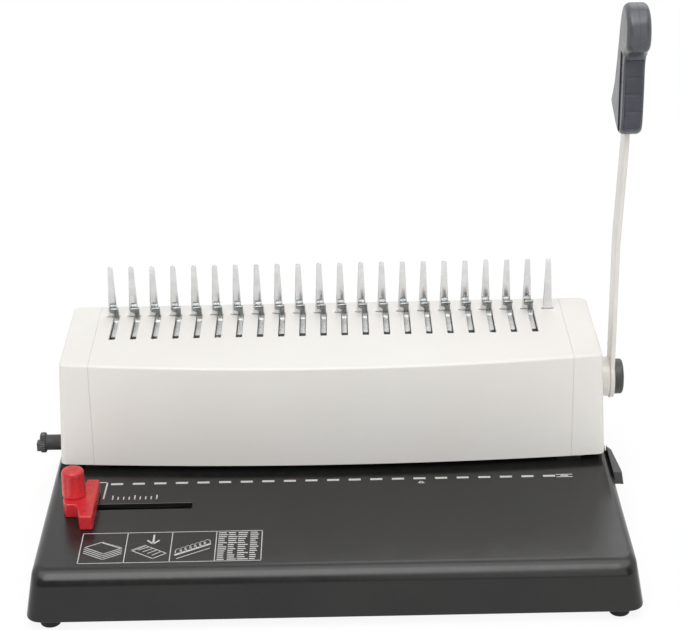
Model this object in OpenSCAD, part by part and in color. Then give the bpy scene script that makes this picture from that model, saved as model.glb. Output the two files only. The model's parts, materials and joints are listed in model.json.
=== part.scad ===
// Desk-top comb binding machine with one hand lever. Millimetres, +Z up, floor at Z = 0.
// The front faces -Y, the lever stands at +X, and the origin is under the middle of the base.

/* [Base] */
// Depth of the base along its lower rim
base_d = 238; // [226:0.5:260]
// How far the base's lower rim stands out beyond the housing at each side
base_side = 8.2; // [7:0.1:12]
// Height of the base from its lower rim to its flat top
base_h = 30.6; // [29:0.1:36]
// Height of the base's lower rim above the floor
foot_h = 7; // [5:0.1:9]
// Thickness of the base's moulded walls
base_wall = 3; // [2.4:0.1:3.4]
// Radius of the base's corners seen from above
base_r = 11.5; // [9:0.5:20]
// Radius of the rounded edge along the base's sides and back
base_edge_r = 5; // [3:0.1:6]
// Radius of the rounded edge along the base's front
front_edge_r = 8.8; // [6:0.1:10]
// How far each side leans in from the rim to the top
side_draft = 5; // [3:0.1:6]
// How far the front leans in from the rim to the top
front_draft = 6.5; // [4:0.1:9]
// How far the back leans in from the rim to the top
rear_draft = 1; // [0.5:0.1:3]

/* [Feet] */
// Radius of a rubber foot where it meets the base
foot_r = 7.5; // [6.5:0.1:9]
// Distance of a foot's middle from the rim at the sides and the back
foot_in = 14.5; // [13:0.1:18]
// Distance of a front foot's middle from the front rim
foot_front = 11.2; // [11:0.1:18]
// Thickness of the sheet steel bottom plate
plate_t = 1.2; // [0.8:0.1:2]
// Depth of the bottom plate inside the rim
plate_in = 0.6; // [0.3:0.1:1.2]
// Radius of the screws that hold feet and bottom plate
foot_screw_r = 2; // [1.5:0.1:2.4]

/* [Housing] */
// Height of the paper mouth under the housing's front edge
mouth_gap = 4.6; // [4.3:0.1:5.5]
// Room between a side frame and the outside of the housing's top
cover_side = 11.8; // [9:0.1:13]
// How far each side of the housing leans out from its top to its front lower edge
cover_flare = 3.5; // [3:0.1:6]
// Step from the base's back rim to the housing's back
rear_step = 3.4; // [3:0.1:6]
// Room between a side frame and the outside of the housing's back
rear_room = 5.6; // [5:0.1:7]
// Thickness of the housing's moulded walls
cover_wall = 2.5; // [1.8:0.1:2.9]
// Room between the die plate and the housing's lower front at the ends
front_room = 6.7; // [6:0.1:9]
// Bow of the housing's lower front edge
bow_low = 8.1; // [4:0.1:12]
// How far the front leans back at the ends from its lower edge to its top
front_lean = 2.8; // [0:0.1:3]
// Bow of the housing's front edge at the top
bow_top = 13.3; // [8:0.1:18]
// Radius of the rounded edge around the housing's top
cover_edge_r = 1.6; // [1:0.1:5]
// Radius of the housing's upright corners
cover_corner_r = 4.5; // [1:0.1:5]
// Distance of the end cap seams inside the side frames
seam_in = 4.5; // [3:0.1:5]
// Free height between the hook sled and the housing's top
sled_room = 7.7; // [7:0.1:10]

/* [Tines and hooks] */
// Distance from one binding hole to the next, nine sixteenths of an inch
pitch = 14.2875; // [14:0.0005:15]
// Number of tines
tine_n = 22; // [18:2:26]
// Thickness of a tine
tine_t = 1.5; // [1:0.1:2]
// Height of a tine above the housing
tine_h = 37; // [30:0.1:44]
// Width of a tine at the housing
tine_w = 6.35; // [5:0.05:7]
// Width of a tine at its tip
tine_tip_w = 3.6; // [3:0.1:4.6]
// Room beside a tine's foot in its slot
tine_play = 1.32; // [0.8:0.01:1.4]
// Distance of a hook's stem to the right of its tine
hook_off = 2.5; // [2:0.1:3]
// Width of a hook's stem
hook_w = 3.4; // [2.6:0.1:3.8]
// Room beside a hook's stem in its slot
hook_play = 0.45; // [0.4:0.01:0.8]
// Width of a hook's head
hook_head_w = 6.4; // [4.4:0.1:7]
// Sheet thickness of a hook
hook_t = 1.5; // [1:0.1:1.8]
// Height of a hook above the housing
hook_h = 8; // [5:0.1:10]
// Reach of a hook's nose in front of its stem
hook_nose = 3.2; // [1.5:0.1:4]
// Height of the free space over a hook's level strip under the housing
strip_room = 1; // [0.6:0.1:3]
// Distance of a hook's level strip from the front end of its slot
strip_in = 3.2; // [1:0.1:6]
// Free length of a hook slot beyond the hook's travel
slot_over = 5.2; // [2:0.1:7]

/* [Drive] */
// Radius of the main shaft
shaft_r = 5; // [4.4:0.1:5.3]
// Swing of the lever from rest
swing = 80; // [70:1:84]
// Module of the gear teeth
gear_m = 1; // [0.95:0.01:1.05]
// Teeth of the pinions that press the ram
pinion_z = 16; // [16:1:18]
// Teeth on the full circle of the sectors that draw the hooks
sector_z = 44; // [42:2:46]
// Play between meshing teeth
backlash = 0.2; // [0.15:0.01:0.3]
// Width of a pinion and of its rack
pinion_w = 8; // [7:0.1:9]
// Width of a sector and of its rack
sector_w = 6; // [4:0.1:8]
// Free width between a pinion and a sector
gear_space = 8; // [4:0.1:14]
// Distance of the pinions' racks behind the ram bar
rack_reach = 13.5; // [12:0.1:16]
// Room between the end of the hooks' racks and the tines
tine_room = 3.6; // [3.2:0.1:6]
// Sheet thickness of the hook sled
sled_t = 2; // [1.5:0.1:3]

/* [Frame] */
// Sheet thickness of a side frame
frame_t = 3; // [2:0.1:4]
// Room between a guide post's middle and a side frame
post_room = 8; // [7:0.1:10]
// Radius of the tie rods
tie_r = 4; // [3:0.1:4.5]
// Thickness of the bar that carries the tines
bar_t = 5; // [4.4:0.1:6]

/* [Punch] */
// Length of a punched hole
punch_w = 8; // [7.4:0.1:8.6]
// Depth of a punched hole
punch_d = 3; // [2.6:0.1:3.4]
// Height of the paper throat between the plates
throat = 3; // [2.6:0.1:3.6]
// Thickness of the die plate
die_t = 6; // [5:0.1:7]
// Width of the die plate in front of the punch line
die_ahead = 10.3; // [9:0.1:11]
// Steel left behind the punched holes
die_behind = 3.5; // [3:0.1:4]
// Thickness of the punch guide plate
guide_t = 5; // [4.4:0.1:6]
// Room between the last punch and a throat spacer
throat_room = 4.1; // [3:0.1:5]
// Height of the ram bar
ram_h = 12; // [11:0.1:14]
// Thickness of the ram bar from front to back
ram_d = 12; // [11:0.1:12.6]
// Height of a punch's cutting edge above the throat at rest
punch_rest = 0.8; // [0.4:0.1:1.2]
// Depth of a punch inside the ram bar
punch_seat = 8; // [5:0.1:9]
// Radius of a guide post
post_r = 4; // [3:0.1:4.3]
// Radius of the ram springs' wire
spring_wire = 0.6; // [0.4:0.05:0.7]
// Room between a guide post and its spring
spring_play = 0.4; // [0.3:0.05:0.6]

/* [Lever] */
// Length of the hub between housing and lever arm
hub_l = 7.5; // [6:0.1:12]
// Sheet thickness of the lever arm
arm_t = 3; // [2.5:0.1:4]
// Width of the lever arm
arm_w = 20; // [16:0.1:22]
// Radius of the lever arm's lower end
arm_end_r = 14.5; // [12:0.1:16]
// Height above the shaft where the lever arm starts to lean out
arm_low = 100; // [80:1:120]
// Height above the shaft where the lever arm stands upright again
arm_high = 171; // [150:1:173]
// How far the upper part of the lever arm stands out
arm_lean = 3; // [2:0.1:6]
// Height of the lever arm's top above the shaft
arm_l = 225.8; // [214:0.1:230]
// Radius of the hub between housing and lever arm
hub_r = 13.5; // [8.5:0.1:14]
// Radius of the domed pivot cap
cap_r = 12; // [11:0.05:14]
// Thickness of the pivot cap
cap_t = 7; // [4.5:0.1:8]
// Height of the grip's lower end above the shaft
grip_up = 178.8; // [175:0.1:184]
// Width of the grip
grip_w = 15.2; // [15:0.1:18]
// Rounding of the grip's side edges
grip_round = 4; // [2:0.1:5]
// Width of the rubber inlay in the grip's front
inlay_w = 10.5; // [8:0.1:11]
// Thickness of the rubber inlay
inlay_t = 3; // [2:0.1:4]

/* [Edge guide] */
// Distance of the guide knob's middle from the base's left rim
guide_in = 23.5; // [22:0.1:26]
// Middle line of the guide slot in front of the middle of the base
slot_front = 31; // [28:0.1:40]
// Width of the guide slot
slot_w = 7.4; // [6.6:0.1:9]
// Length of the guide slot to the right of the knob at rest
slot_l = 75.5; // [50:0.5:110]
// Height of the guide above the base
guide_h = 9.4; // [7:0.1:10]
// Thickness of the guide's fence
fence_t = 8.2; // [6:0.1:9]
// Distance of the fence's paper face to the right of the knob's middle
fence_x = 14.3; // [13.5:0.1:16]
// Radius of the guide knob
gknob_r = 7.7; // [6.5:0.1:8.5]
// Height of the guide knob
gknob_h = 18.9; // [14:0.1:24]
// Radius of the clamp stud under the guide knob
stud_r = 2.5; // [2:0.1:2.9]

/* [Chip tray] */
// Depth of the tray from front to back
tray_d = 42; // [36:0.1:46]
// Distance of the tray's middle line in front of the punch line
tray_ahead = 11.5; // [6:0.1:13]
// Height of the free space over the tray walls
tray_room = 2.1; // [1:0.1:4]
// Thickness of the tray walls
tray_wall = 1.5; // [1.2:0.1:2]
// How far the pull lip stands out beyond the base's rim
pull_out = 2.5; // [2:0.1:6]
// Thickness of the tray's end plate in the base's side
pull_t = 6; // [4:0.1:7]
// How far the end plate reaches past the tray at each end
pull_over = 2; // [1:0.1:3]
// Height of the pull lip below the level of the base's top
lip_h = 9; // [8:0.1:10]
// Length of the pull lip
lip_l = 38; // [34:0.1:44]
// How far the pull lip leans in from its foot to its top
lip_lean = 1.4; // [0:0.1:1.4]

/* [Depth stop] */
// Radius of the depth shaft
depth_r = 3.5; // [2.6:0.1:3.8]
// Radius of a depth cam
cam_r = 5.5; // [5.3:0.1:6]
// Offset of a depth cam from its shaft
cam_off = 1.3; // [0.8:0.1:1.4]
// Width of a depth cam
cam_w = 8; // [5:0.1:10]
// Radius of the depth knob's neck
dknob_r = 5.3; // [4.6:0.1:6]
// Radius of the depth knob's rim
dknob_rim_r = 7; // [6:0.1:8]
// Thickness of the depth knob's rim
dknob_rim_t = 4; // [3:0.1:6]
// Length of the depth knob
dknob_l = 19.1; // [16:0.1:24]
// How far the depth knob's pointer stands out from its rim
dknob_point = 2.6; // [1:0.1:3]

/* [Fits] */
// Gap between parts that slide past each other
slide_gap = 0.3; // [0.2:0.05:0.4]
// Radial play of shafts, posts and screws in their holes
run_gap = 0.05; // [0.02:0.01:0.08]
// Play of a punch in the die, the guide plate and the ram
punch_gap = 0.08; // [0.05:0.01:0.12]
// Free height or width that moving parts keep at the end of their travel
stop_gap = 0.7; // [0.5:0.1:1.2]

/* [Hidden] */
part_fn = 48;
pinion_r = gear_m * pinion_z / 2;
sector_r = gear_m * sector_z / 2;
hook_travel = sector_r * swing * PI / 180;
ram_travel = pinion_r * swing * PI / 180;
rack_add = 0.85 * gear_m;
rack_ded = 1.2 * gear_m;

// Heights, from the floor up
base_top = foot_h + base_h;
base_under = base_top - base_wall;
plate_z = foot_h + plate_in;
plate_up = plate_z + plate_t;
die_low = base_top - die_t;
shelf_low = die_low - base_wall;
tray_z = plate_up + slide_gap;
pull_top = shelf_low;
tray_top = pull_top - tray_room;
side_low = base_top + slide_gap;
cover_low = base_top + mouth_gap;
throat_top = base_top + throat;
guide_up = throat_top + guide_t;
punch_tip = throat_top + punch_rest;
depth_z = base_top + dknob_r + stop_gap;
ram_z = guide_up + ram_travel + stop_gap;
ram_up = ram_z + ram_h;
lobe_z = max(ram_z, depth_z + max(depth_r, cam_r) + ram_travel + stop_gap);
post_up = ram_up + 2;
pivot_z = post_up + 1.73 + shaft_r;
hook_rack_z = pivot_z + sector_r;
sled_z = hook_rack_z + 2.5 * gear_m;
sled_up = sled_z + sled_t;
cover_under = sled_up + sled_room;
cover_top = cover_under + cover_wall;
frame_top = cover_under - 2.4;
bar_z0 = sled_z - 2.5;
bar_z1 = cover_under - 1.4;

// Places from the back of the base to its front
cover_rear = base_d / 2 - rear_step;
frame_rear = cover_rear - rear_room;
bar_y1 = frame_rear - 6;
tine_back = bar_y1 - bar_t;
tine_front = tine_back - tine_t;
hook_back = tine_front - slide_gap;
hook_slot_front = hook_back - hook_t - hook_travel - slot_over;
pivot_y = tine_front + tine_t / 2 - hook_travel - tine_room;
rack_y = pivot_y - pinion_r;
ram_back = rack_y - rack_reach;
ram_front = ram_back - ram_d;
punch_y = ram_back - ram_d / 2;
rack_bolt = ram_d / 2 - punch_d / 2 - 0.7;
die_front = punch_y - die_ahead;
die_rear = punch_y + punch_d / 2 + die_behind;
depth_y = die_rear + cam_r + cam_off + stop_gap;
well_rear = depth_y + cam_r + cam_off + stop_gap;
spring_r = post_r + spring_play + spring_wire;
post_y = well_rear + spring_r + spring_wire;
ear_rear = post_y + post_r + 2;
lobe_back = post_y + post_r + 2.5;
frame_front = die_front + 0.4;
bow_low_end = die_front - front_room;
bow_low_mid = bow_low_end - bow_low;
bow_top_end = bow_low_end + front_lean;
bow_top_mid = bow_top_end - bow_top;
sled_front = pivot_y - 5 * gear_m;
slot_y = -slot_front;

// Places from the middle to the sides
tine_x0 = -pitch * (tine_n - 1) / 2;
hook_n = tine_n - 1;
strip_z = cover_under - strip_room - hook_t;
strip_front = hook_slot_front + strip_in;
punch_n = tine_n - 1;
punch_x0 = tine_x0 + pitch / 2;
tine_slot_l = tine_w + 2 * tine_play;
hook_slot_w = hook_w + 2 * hook_play;
throat_x = -punch_x0 + punch_w / 2 + throat_room;
post_x = throat_x + 5;
frame_in = post_x + post_room;
frame_out = frame_in + frame_t;
guide_half = frame_in - 0.5;
die_x = frame_in + 4;
ear_in = post_x - post_r - 3;
ram_half = frame_in - 2.5;
lobe_in = post_x - post_r - 2.5;
pinion_x = lobe_in - 2.5 - pinion_w / 2;
sector_x = pinion_x - pinion_w / 2 - gear_space - sector_w / 2;
sled_x = frame_in - 6;
seam_x = frame_in - seam_in;
cover_w_top = 2 * (frame_out + cover_side);
cover_w_low = cover_w_top + 2 * cover_flare;
boss_l = cover_side + 0.15 * cover_flare;
base_w = cover_w_low + 2 * base_side;
foot_x = base_w / 2 - foot_in;
mid_x = foot_x / 2;
foot_y0 = -base_d / 2 + foot_front;
foot_y1 = base_d / 2 - foot_in;
frame_foot_x = frame_out + 6;
hub_side = cover_w_low / 2 - cover_flare * (pivot_z - hub_r - cover_low) / (cover_top - cover_low);
hub_in = hub_side + slide_gap;
arm_in = hub_in + hub_l;
arm_out = arm_in + arm_t;
grip_x = (arm_in + arm_out) / 2 + arm_lean;
arm_top = pivot_z + arm_l;
guide_x = -base_w / 2 + guide_in;
slot_end = guide_x + slot_l;
tray_y0 = punch_y - tray_ahead - tray_d / 2;
tray_y1 = tray_y0 + tray_d;
tray_end = -frame_in - 1;
tray_front = tray_y0 - pull_over;
tray_rear = tray_y1 + pull_over;
pull_x = base_w / 2 + pull_out;
lip_low = base_top - lip_h;
lip_in = side_x(lip_low) + slide_gap;
gate_top = lip_low + 3;
gate_in = side_x(gate_top) - pull_t;
dknob_in = -cover_w_low / 2 - 0.6;
dknob_end = dknob_in - dknob_l;
guide_low = base_top + slide_gap;
nut_up = base_under - slide_gap;
gknob_z = guide_low + guide_h + slide_gap;

// Places of screws and rods
die_bolt_y = [die_front + 4, die_rear - 3.5];
frame_screw_y = [pivot_y + 16, frame_rear - 8];
tie_places = [[ram_front + 1.5, pivot_z + 13.8], [bar_y1 - 2, base_top + 12.4]];
bar_bolt = [tine_back + bar_t / 2, (bar_z0 + bar_z1) / 2];
bar_screws = [-8 * pitch, -2 * pitch, 2 * pitch, 8 * pitch];
cap_places = [[ram_back + 3.5, pivot_z + 9.8], [bar_y1 - 4, base_top + 24.4]];
rear_heights = [base_top + 18.4, pivot_z + 9.8];
rear_screw_x = seam_x - 5;
cam_places = [-8.5 * pitch, -3.5 * pitch, 3.5 * pitch, 8.5 * pitch];
grip_z = pivot_z + grip_up;
grip_screw_z = [grip_z + 20.5, arm_top - 10];
grip_screw_y = pivot_y - 5.5;
tang_y = pivot_y - 0.5;
tang_z = grip_z + 24;
inlay_y = pivot_y - 26.2;
inlay_z0 = grip_z + 7.8;
inlay_z1 = grip_z + 52.8;

// Value part of the way from one size to another
function mix(a, b, t) = a + (b - a) * t;

// Involute of an angle, in degrees
function inv(a) = tan(a) * 180 / PI - a;

// Half the angle a tooth takes up at one radius
function tooth_half(r, rp, z) =
  let (rb = rp * cos(20), a = r > rb ? acos(rb / r) : 0)
  90 / z - backlash / 4 / rp * 180 / PI + inv(20) - inv(a);

// Radii of the points along one flank, root to tip
function flank(rp) = [
  rp - 1.2 * gear_m, rp * cos(20), rp - 0.2 * gear_m, rp + 0.2 * gear_m, rp + 0.55 * gear_m, rp + 0.9 * gear_m
];

// Outline of the teeth that stand at the given angles
function teeth(rp, z, angles) = [
  for (c = angles, k = [0 : 11])
    let (r = k < 6 ? flank(rp)[k] : flank(rp)[11 - k], h = tooth_half(r, rp, z), a = k < 6 ? c - h : c + h)
    [r * cos(a), r * sin(a)]
];

// Outline of rack teeth: along the rack and out of it, with a gap at place 0
function rack_teeth(k0, k1) = [
  for (k = [k0 : k1], j = [0 : 3])
    let (
      c = (k + 0.5) * PI * gear_m,
      w = PI * gear_m / 4 - backlash / 4,
      out = j == 0 || j == 3 ? -rack_ded : rack_add,
      side = j < 2 ? -1 : 1
    )
    [c + side * (w - out * tan(20)), out]
];

// Points of a smooth closed curve through the given points
function curve(p, n) = [
  for (i = [0 : len(p) - 1], j = [0 : n - 1])
    let (
      m = len(p),
      a = p[(i + m - 1) % m],
      b = p[i],
      c = p[(i + 1) % m],
      d = p[(i + 2) % m],
      t = j / n
    )
    0.5 * (2 * b + (c - a) * t + (2 * a - 5 * b + 4 * c - d) * t * t + (3 * b - a - 3 * c + d) * t * t * t)
];

// A closed outline moved inward along its normals
function inset(p, d) = [
  for (i = [0 : len(p) - 1])
    let (m = len(p), t = p[(i + 1) % m] - p[(i + m - 1) % m])
    p[i] + d * [t[1], -t[0]] / norm(t)
];

// Outside of the base's right side at one height
function side_x(z) = base_w / 2 - side_draft * (z - foot_h) / (base_top - foot_h);

// Box from one corner to the other
module box(a, b) {
  translate(a)
    cube(b - a);
}

// Flat outline with Y across and Z up, made solid from one X to another
module along_x(x0, x1) {
  translate([x0, 0, 0])
    rotate([90, 0, 90])
      linear_extrude(x1 - x0)
        children();
}

// Round bar along X
module bar_x(x0, x1, y, z, r) {
  translate([x0, y, z])
    rotate([0, 90, 0])
      cylinder(r = r, h = x1 - x0, $fn = part_fn);
}

// Round bar along Y
module bar_y(y0, y1, x, z, r) {
  translate([x, y1, z])
    rotate([90, 0, 0])
      cylinder(r = r, h = y1 - y0, $fn = part_fn);
}

// Round bar along Z
module bar_z(z0, z1, x, y, r) {
  translate([x, y, z0])
    cylinder(r = r, h = z1 - z0, $fn = part_fn);
}

// Inset of the base's skin at a height, for a rounded edge of radius r
function edge_cut(z, r) = z > base_top - r ? r - sqrt(max(0, r * r - pow(z - base_top + r, 2))) : 0;

// The base's outline at one height, moved in by one cut at the front and another elsewhere
module base_plan(z, cut, front) {
  t = (z - foot_h) / (base_top - foot_h);
  r = base_r - cut;
  hx = base_w / 2 - side_draft * t - cut - r;
  y0 = -base_d / 2 + front_draft * t + front + r;
  y1 = base_d / 2 - rear_draft * t - cut - r;
  offset(r = r, $fn = 32)
    polygon([[-hx, y0], [hx, y0], [hx, y1], [-hx, y1]]);
}

// A thin slice of the base
module base_slice(z, cut, front) {
  translate([0, 0, z])
    linear_extrude(0.02)
      base_plan(z, cut, front);
}

// The base as a solid block with its rounded top edge
module base_block() {
  hull() {
    base_slice(foot_h, 0, 0);
    for (a = [0 : 15 : 90])
      let (z = base_top - 0.02 - front_edge_r * (1 - sin(a)))
        base_slice(z, edge_cut(z, base_edge_r), edge_cut(z, front_edge_r));
  }
}

// The hollow under the base's top: full width below, and clear of the solid front edge above
module base_hollow() {
  z = base_top - front_edge_r;
  hull() {
    base_slice(foot_h - 1, base_wall, base_wall);
    base_slice(z, base_wall, base_wall);
  }
  hull() {
    base_slice(z - 1, base_wall + 0.4, front_edge_r);
    base_slice(base_under - 0.02, base_wall + 0.4, front_edge_r);
  }
}

// Bosses for the screws that go up or down into the base
module base_bosses() {
  for (y = [foot_y0, foot_y1])
    let (z = y < 0 ? base_top - front_edge_r + 2.5 : base_under + 0.5) {
      for (x = [-foot_x, foot_x])
        bar_z(plate_up, z, x, y, foot_screw_r + 3);
      for (x = [-mid_x, mid_x])
        bar_z(plate_up, z, x, y, foot_screw_r + 2.5);
    }
  for (s = [-1, 1], y = frame_screw_y)
    bar_z(base_under - 9, base_under + 0.5, s * frame_foot_x, y, 4.5);
}

module base_shell() {
  color([0.2, 0.2, 0.2])
    difference() {
      union() {
        difference() {
          base_block();
          base_hollow();
        }
        base_bosses();
        for (s = [-1, 1])
          box(
            [s > 0 ? ear_in : -die_x - 3, die_front - 3, shelf_low],
            [s > 0 ? die_x + 3 : -ear_in, ear_rear + 3, base_under + 0.5]
          );
      }
      box([-die_x - slide_gap, die_front - slide_gap, die_low], [die_x + slide_gap, well_rear, base_top + 1]);
      for (s = [-1, 1]) {
        box(
          [s > 0 ? ear_in - slide_gap : -die_x - slide_gap, well_rear - 1, die_low],
          [s > 0 ? die_x + slide_gap : -ear_in + slide_gap, ear_rear + slide_gap, base_top + 1]
        );
        for (y = die_bolt_y)
          bar_z(shelf_low - 1, die_low + 1, s * post_x, y, 2 + run_gap);
        for (y = frame_screw_y)
          bar_z(base_under - 8, base_top + 1, s * frame_foot_x, y, 2 + run_gap);
      }
      for (x = [-foot_x, -mid_x, mid_x, foot_x], y = [foot_y0, foot_y1])
        bar_z(plate_up - 1, plate_up + 15, x, y, foot_screw_r + run_gap);
      box([guide_x - 9.5, slot_y - slot_w / 2, base_under - 1], [slot_end, slot_y + slot_w / 2, base_top + 1]);
      box([frame_in + 8, tray_front - slide_gap, foot_h - 1], [base_w, tray_rear + slide_gap, gate_top + slide_gap]);
    }
}

module bottom_plate() {
  color([0.55, 0.56, 0.58])
    difference() {
      translate([0, 0, plate_z])
        linear_extrude(plate_t)
          base_plan(plate_up, base_wall + 0.15, base_wall + 0.15);
      for (x = [-foot_x, -mid_x, mid_x, foot_x], y = [foot_y0, foot_y1])
        bar_z(plate_z - 1, plate_up + 1, x, y, foot_screw_r + run_gap);
    }
}

module rubber_feet() {
  color([0.08, 0.08, 0.08])
    for (x = [-foot_x, foot_x], y = [foot_y0, foot_y1])
      difference() {
        translate([x, y, 0])
          cylinder(r1 = foot_r - 1, r2 = foot_r, h = plate_z, $fn = part_fn);
        bar_z(-1, plate_z + 1, x, y, foot_screw_r + run_gap);
        bar_z(-1, 3.6, x, y, foot_screw_r + 2.2);
      }
}

module foot_screws() {
  color([0.7, 0.7, 0.72])
    for (x = [-foot_x, foot_x], y = [foot_y0, foot_y1]) {
      bar_z(1.6, 3.6, x, y, foot_screw_r + 1.6);
      bar_z(3.4, plate_up + 14, x, y, foot_screw_r);
    }
}

module bottom_screws() {
  color([0.7, 0.7, 0.72])
    for (x = [-mid_x, mid_x], y = [foot_y0, foot_y1]) {
      bar_z(plate_z - 2, plate_z, x, y, foot_screw_r + 1.6);
      bar_z(plate_z - 0.2, plate_up + 14, x, y, foot_screw_r);
    }
}

module chip_tray() {
  color([0.16, 0.16, 0.17]) {
    difference() {
      box([tray_end, tray_y0, tray_z], [gate_in + 1, tray_y1, tray_top]);
      box(
        [tray_end + tray_wall, tray_y0 + tray_wall, tray_z + tray_wall],
        [gate_in, tray_y1 - tray_wall, tray_top + 1]
      );
    }
    translate([0, tray_rear, 0])
      rotate([90, 0, 0])
        linear_extrude(tray_rear - tray_front)
          polygon([
            [gate_in, tray_z],
            [side_x(tray_z) - 0.2, tray_z],
            [side_x(gate_top) - 0.2, gate_top],
            [gate_in, gate_top]
          ]);
    box([gate_in + 2, tray_front, lip_low], [lip_in + 1, tray_front + lip_l - 1, gate_top]);
    hull()
      for (k = [0, 1])
        translate([-lip_lean * k, 0, lip_low + (lip_h - 0.02) * k])
          linear_extrude(0.02)
            polygon([
              [lip_in, tray_front],
              [pull_x, tray_front],
              [pull_x, tray_front + lip_l * 0.08],
              [pull_x - 3, tray_front + lip_l * 0.87],
              [lip_in, tray_front + lip_l]
            ]);
  }
}

// One side frame: upright sheet, foot turned out, back flange turned in
module side_frame(s) {
  x0 = s > 0 ? frame_in : -frame_in - frame_t;
  x1 = s > 0 ? frame_out : -frame_in;
  difference() {
    union() {
      box([x0, frame_front, base_top], [x1, frame_rear, frame_top]);
      box(
        [s > 0 ? frame_in : -frame_foot_x - 4.5, frame_screw_y[0] - 8, base_top],
        [s > 0 ? frame_foot_x + 4.5 : -frame_in, frame_rear, base_top + 2.5]
      );
      box(
        [s > 0 ? rear_screw_x - 5 : -frame_in - 1, frame_rear - 2.5, rear_heights[0] - 9],
        [s > 0 ? frame_in + 1 : -rear_screw_x + 5, frame_rear, rear_heights[1] + 7]
      );
    }
    bar_x(x0 - 1, x1 + 1, pivot_y, pivot_z, shaft_r + 2.5 + run_gap);
    bar_x(x0 - 1, x1 + 1, depth_y, depth_z, depth_r + run_gap);
    for (p = concat(tie_places, [bar_bolt]))
      bar_x(x0 - 1, x1 + 1, p[0], p[1], 2 + run_gap);
    for (p = cap_places)
      bar_x(x0 - 1, x1 + 1, p[0], p[1], 1.9 + run_gap);
    for (y = frame_screw_y)
      bar_z(base_top - 1, base_top + 4, s * frame_foot_x, y, 2 + run_gap);
    for (z = rear_heights)
      bar_y(frame_rear - 4, frame_rear + 1, s * rear_screw_x, z, 1.5 + run_gap);
  }
}

module left_frame() {
  color([0.62, 0.63, 0.65])
    side_frame(-1);
}

module right_frame() {
  color([0.62, 0.63, 0.65])
    side_frame(1);
}

module frame_screws() {
  color([0.7, 0.7, 0.72])
    for (s = [-1, 1], y = frame_screw_y) {
      bar_z(base_top + 2.5, base_top + 4.9, s * frame_foot_x, y, 3.5);
      bar_z(base_under - 7, base_top + 2.7, s * frame_foot_x, y, 2);
    }
}

module tie_rods() {
  color([0.66, 0.67, 0.69])
    for (p = tie_places)
      difference() {
        bar_x(-frame_in, frame_in, p[0], p[1], tie_r);
        for (x = [-frame_in, frame_in])
          bar_x(x - 12, x + 12, p[0], p[1], 2 + run_gap);
      }
}

module tie_screws() {
  color([0.7, 0.7, 0.72])
    for (p = concat(tie_places, [bar_bolt]), s = [-1, 1]) {
      x = frame_out;
      bar_x(s > 0 ? x : -x - 2.2, s > 0 ? x + 2.2 : -x, p[0], p[1], 3.8);
      bar_x(s > 0 ? frame_in - 10 : -x - 0.2, s > 0 ? x + 0.2 : -frame_in + 10, p[0], p[1], 2);
    }
}

module die_plate() {
  color([0.5, 0.51, 0.53])
    difference() {
      union() {
        box([-die_x, die_front, die_low], [die_x, die_rear, base_top]);
        box([-die_x, die_rear - 1, die_low], [-ear_in, ear_rear, base_top]);
        box([ear_in, die_rear - 1, die_low], [die_x, ear_rear, base_top]);
      }
      for (i = [0 : punch_n - 1])
        translate([punch_x0 + i * pitch, punch_y, die_low + die_t / 2])
          cube([punch_w + 2 * punch_gap, punch_d + 2 * punch_gap, die_t + 2], center = true);
      for (s = [-1, 1], y = die_bolt_y)
        bar_z(die_low - 1, base_top + 1, s * post_x, y, 2 + run_gap);
      for (s = [-1, 1])
        bar_z(die_low - 1, base_top + 1, s * post_x, post_y, post_r + run_gap);
    }
}

module throat_spacers() {
  color([0.58, 0.59, 0.6])
    for (s = [-1, 1])
      difference() {
        box(
          [s > 0 ? throat_x : -guide_half, die_front, base_top],
          [s > 0 ? guide_half : -throat_x, die_rear, throat_top]
        );
        for (y = die_bolt_y)
          bar_z(base_top - 1, throat_top + 1, s * post_x, y, 2 + run_gap);
      }
}

module guide_plate() {
  color([0.54, 0.55, 0.57])
    difference() {
      box([-guide_half, die_front, throat_top], [guide_half, die_rear, guide_up]);
      for (i = [0 : punch_n - 1])
        translate([punch_x0 + i * pitch, punch_y, throat_top + guide_t / 2])
          cube([punch_w + 2 * punch_gap, punch_d + 2 * punch_gap, guide_t + 2], center = true);
      for (s = [-1, 1], y = die_bolt_y) {
        bar_z(throat_top - 1, guide_up + 1, s * post_x, y, 2 + run_gap);
        bar_z(guide_up - 2.6, guide_up + 1, s * post_x, y, 3.2 + run_gap);
      }
    }
}

module die_bolts() {
  color([0.3, 0.3, 0.32])
    for (s = [-1, 1], y = die_bolt_y) {
      bar_z(guide_up - 2.6, guide_up - 0.1, s * post_x, y, 3.2);
      bar_z(shelf_low + 0.4, guide_up - 2.4, s * post_x, y, 2);
    }
}

module guide_posts() {
  color([0.75, 0.75, 0.77])
    for (s = [-1, 1])
      bar_z(die_low, post_up, s * post_x, post_y, post_r);
}

// A round wire wound upward from Z = 0
module coil(r, wire, turns, h) {
  n = turns * 14;
  m = 6;
  pts = [
    for (i = [0 : n], j = [0 : m - 1])
      let (a = 360 * turns * i / n, z = wire + (h - 2 * wire) * i / n, b = 360 * j / m)
      [(r + wire * cos(b)) * cos(a), (r + wire * cos(b)) * sin(a), z + wire * sin(b)]
  ];
  sides = [
    for (i = [0 : n - 1], j = [0 : m - 1])
      [i * m + j, i * m + (j + 1) % m, (i + 1) * m + (j + 1) % m, (i + 1) * m + j]
  ];
  ends = [[for (j = [0 : m - 1]) m - 1 - j], [for (j = [0 : m - 1]) n * m + j]];
  polyhedron(points = pts, faces = concat(sides, ends), convexity = 10);
}

module ram_springs() {
  color([0.7, 0.7, 0.72])
    for (s = [-1, 1])
      translate([s * post_x, post_y, base_top])
        coil(spring_r, spring_wire, 7, lobe_z - base_top);
}

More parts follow.
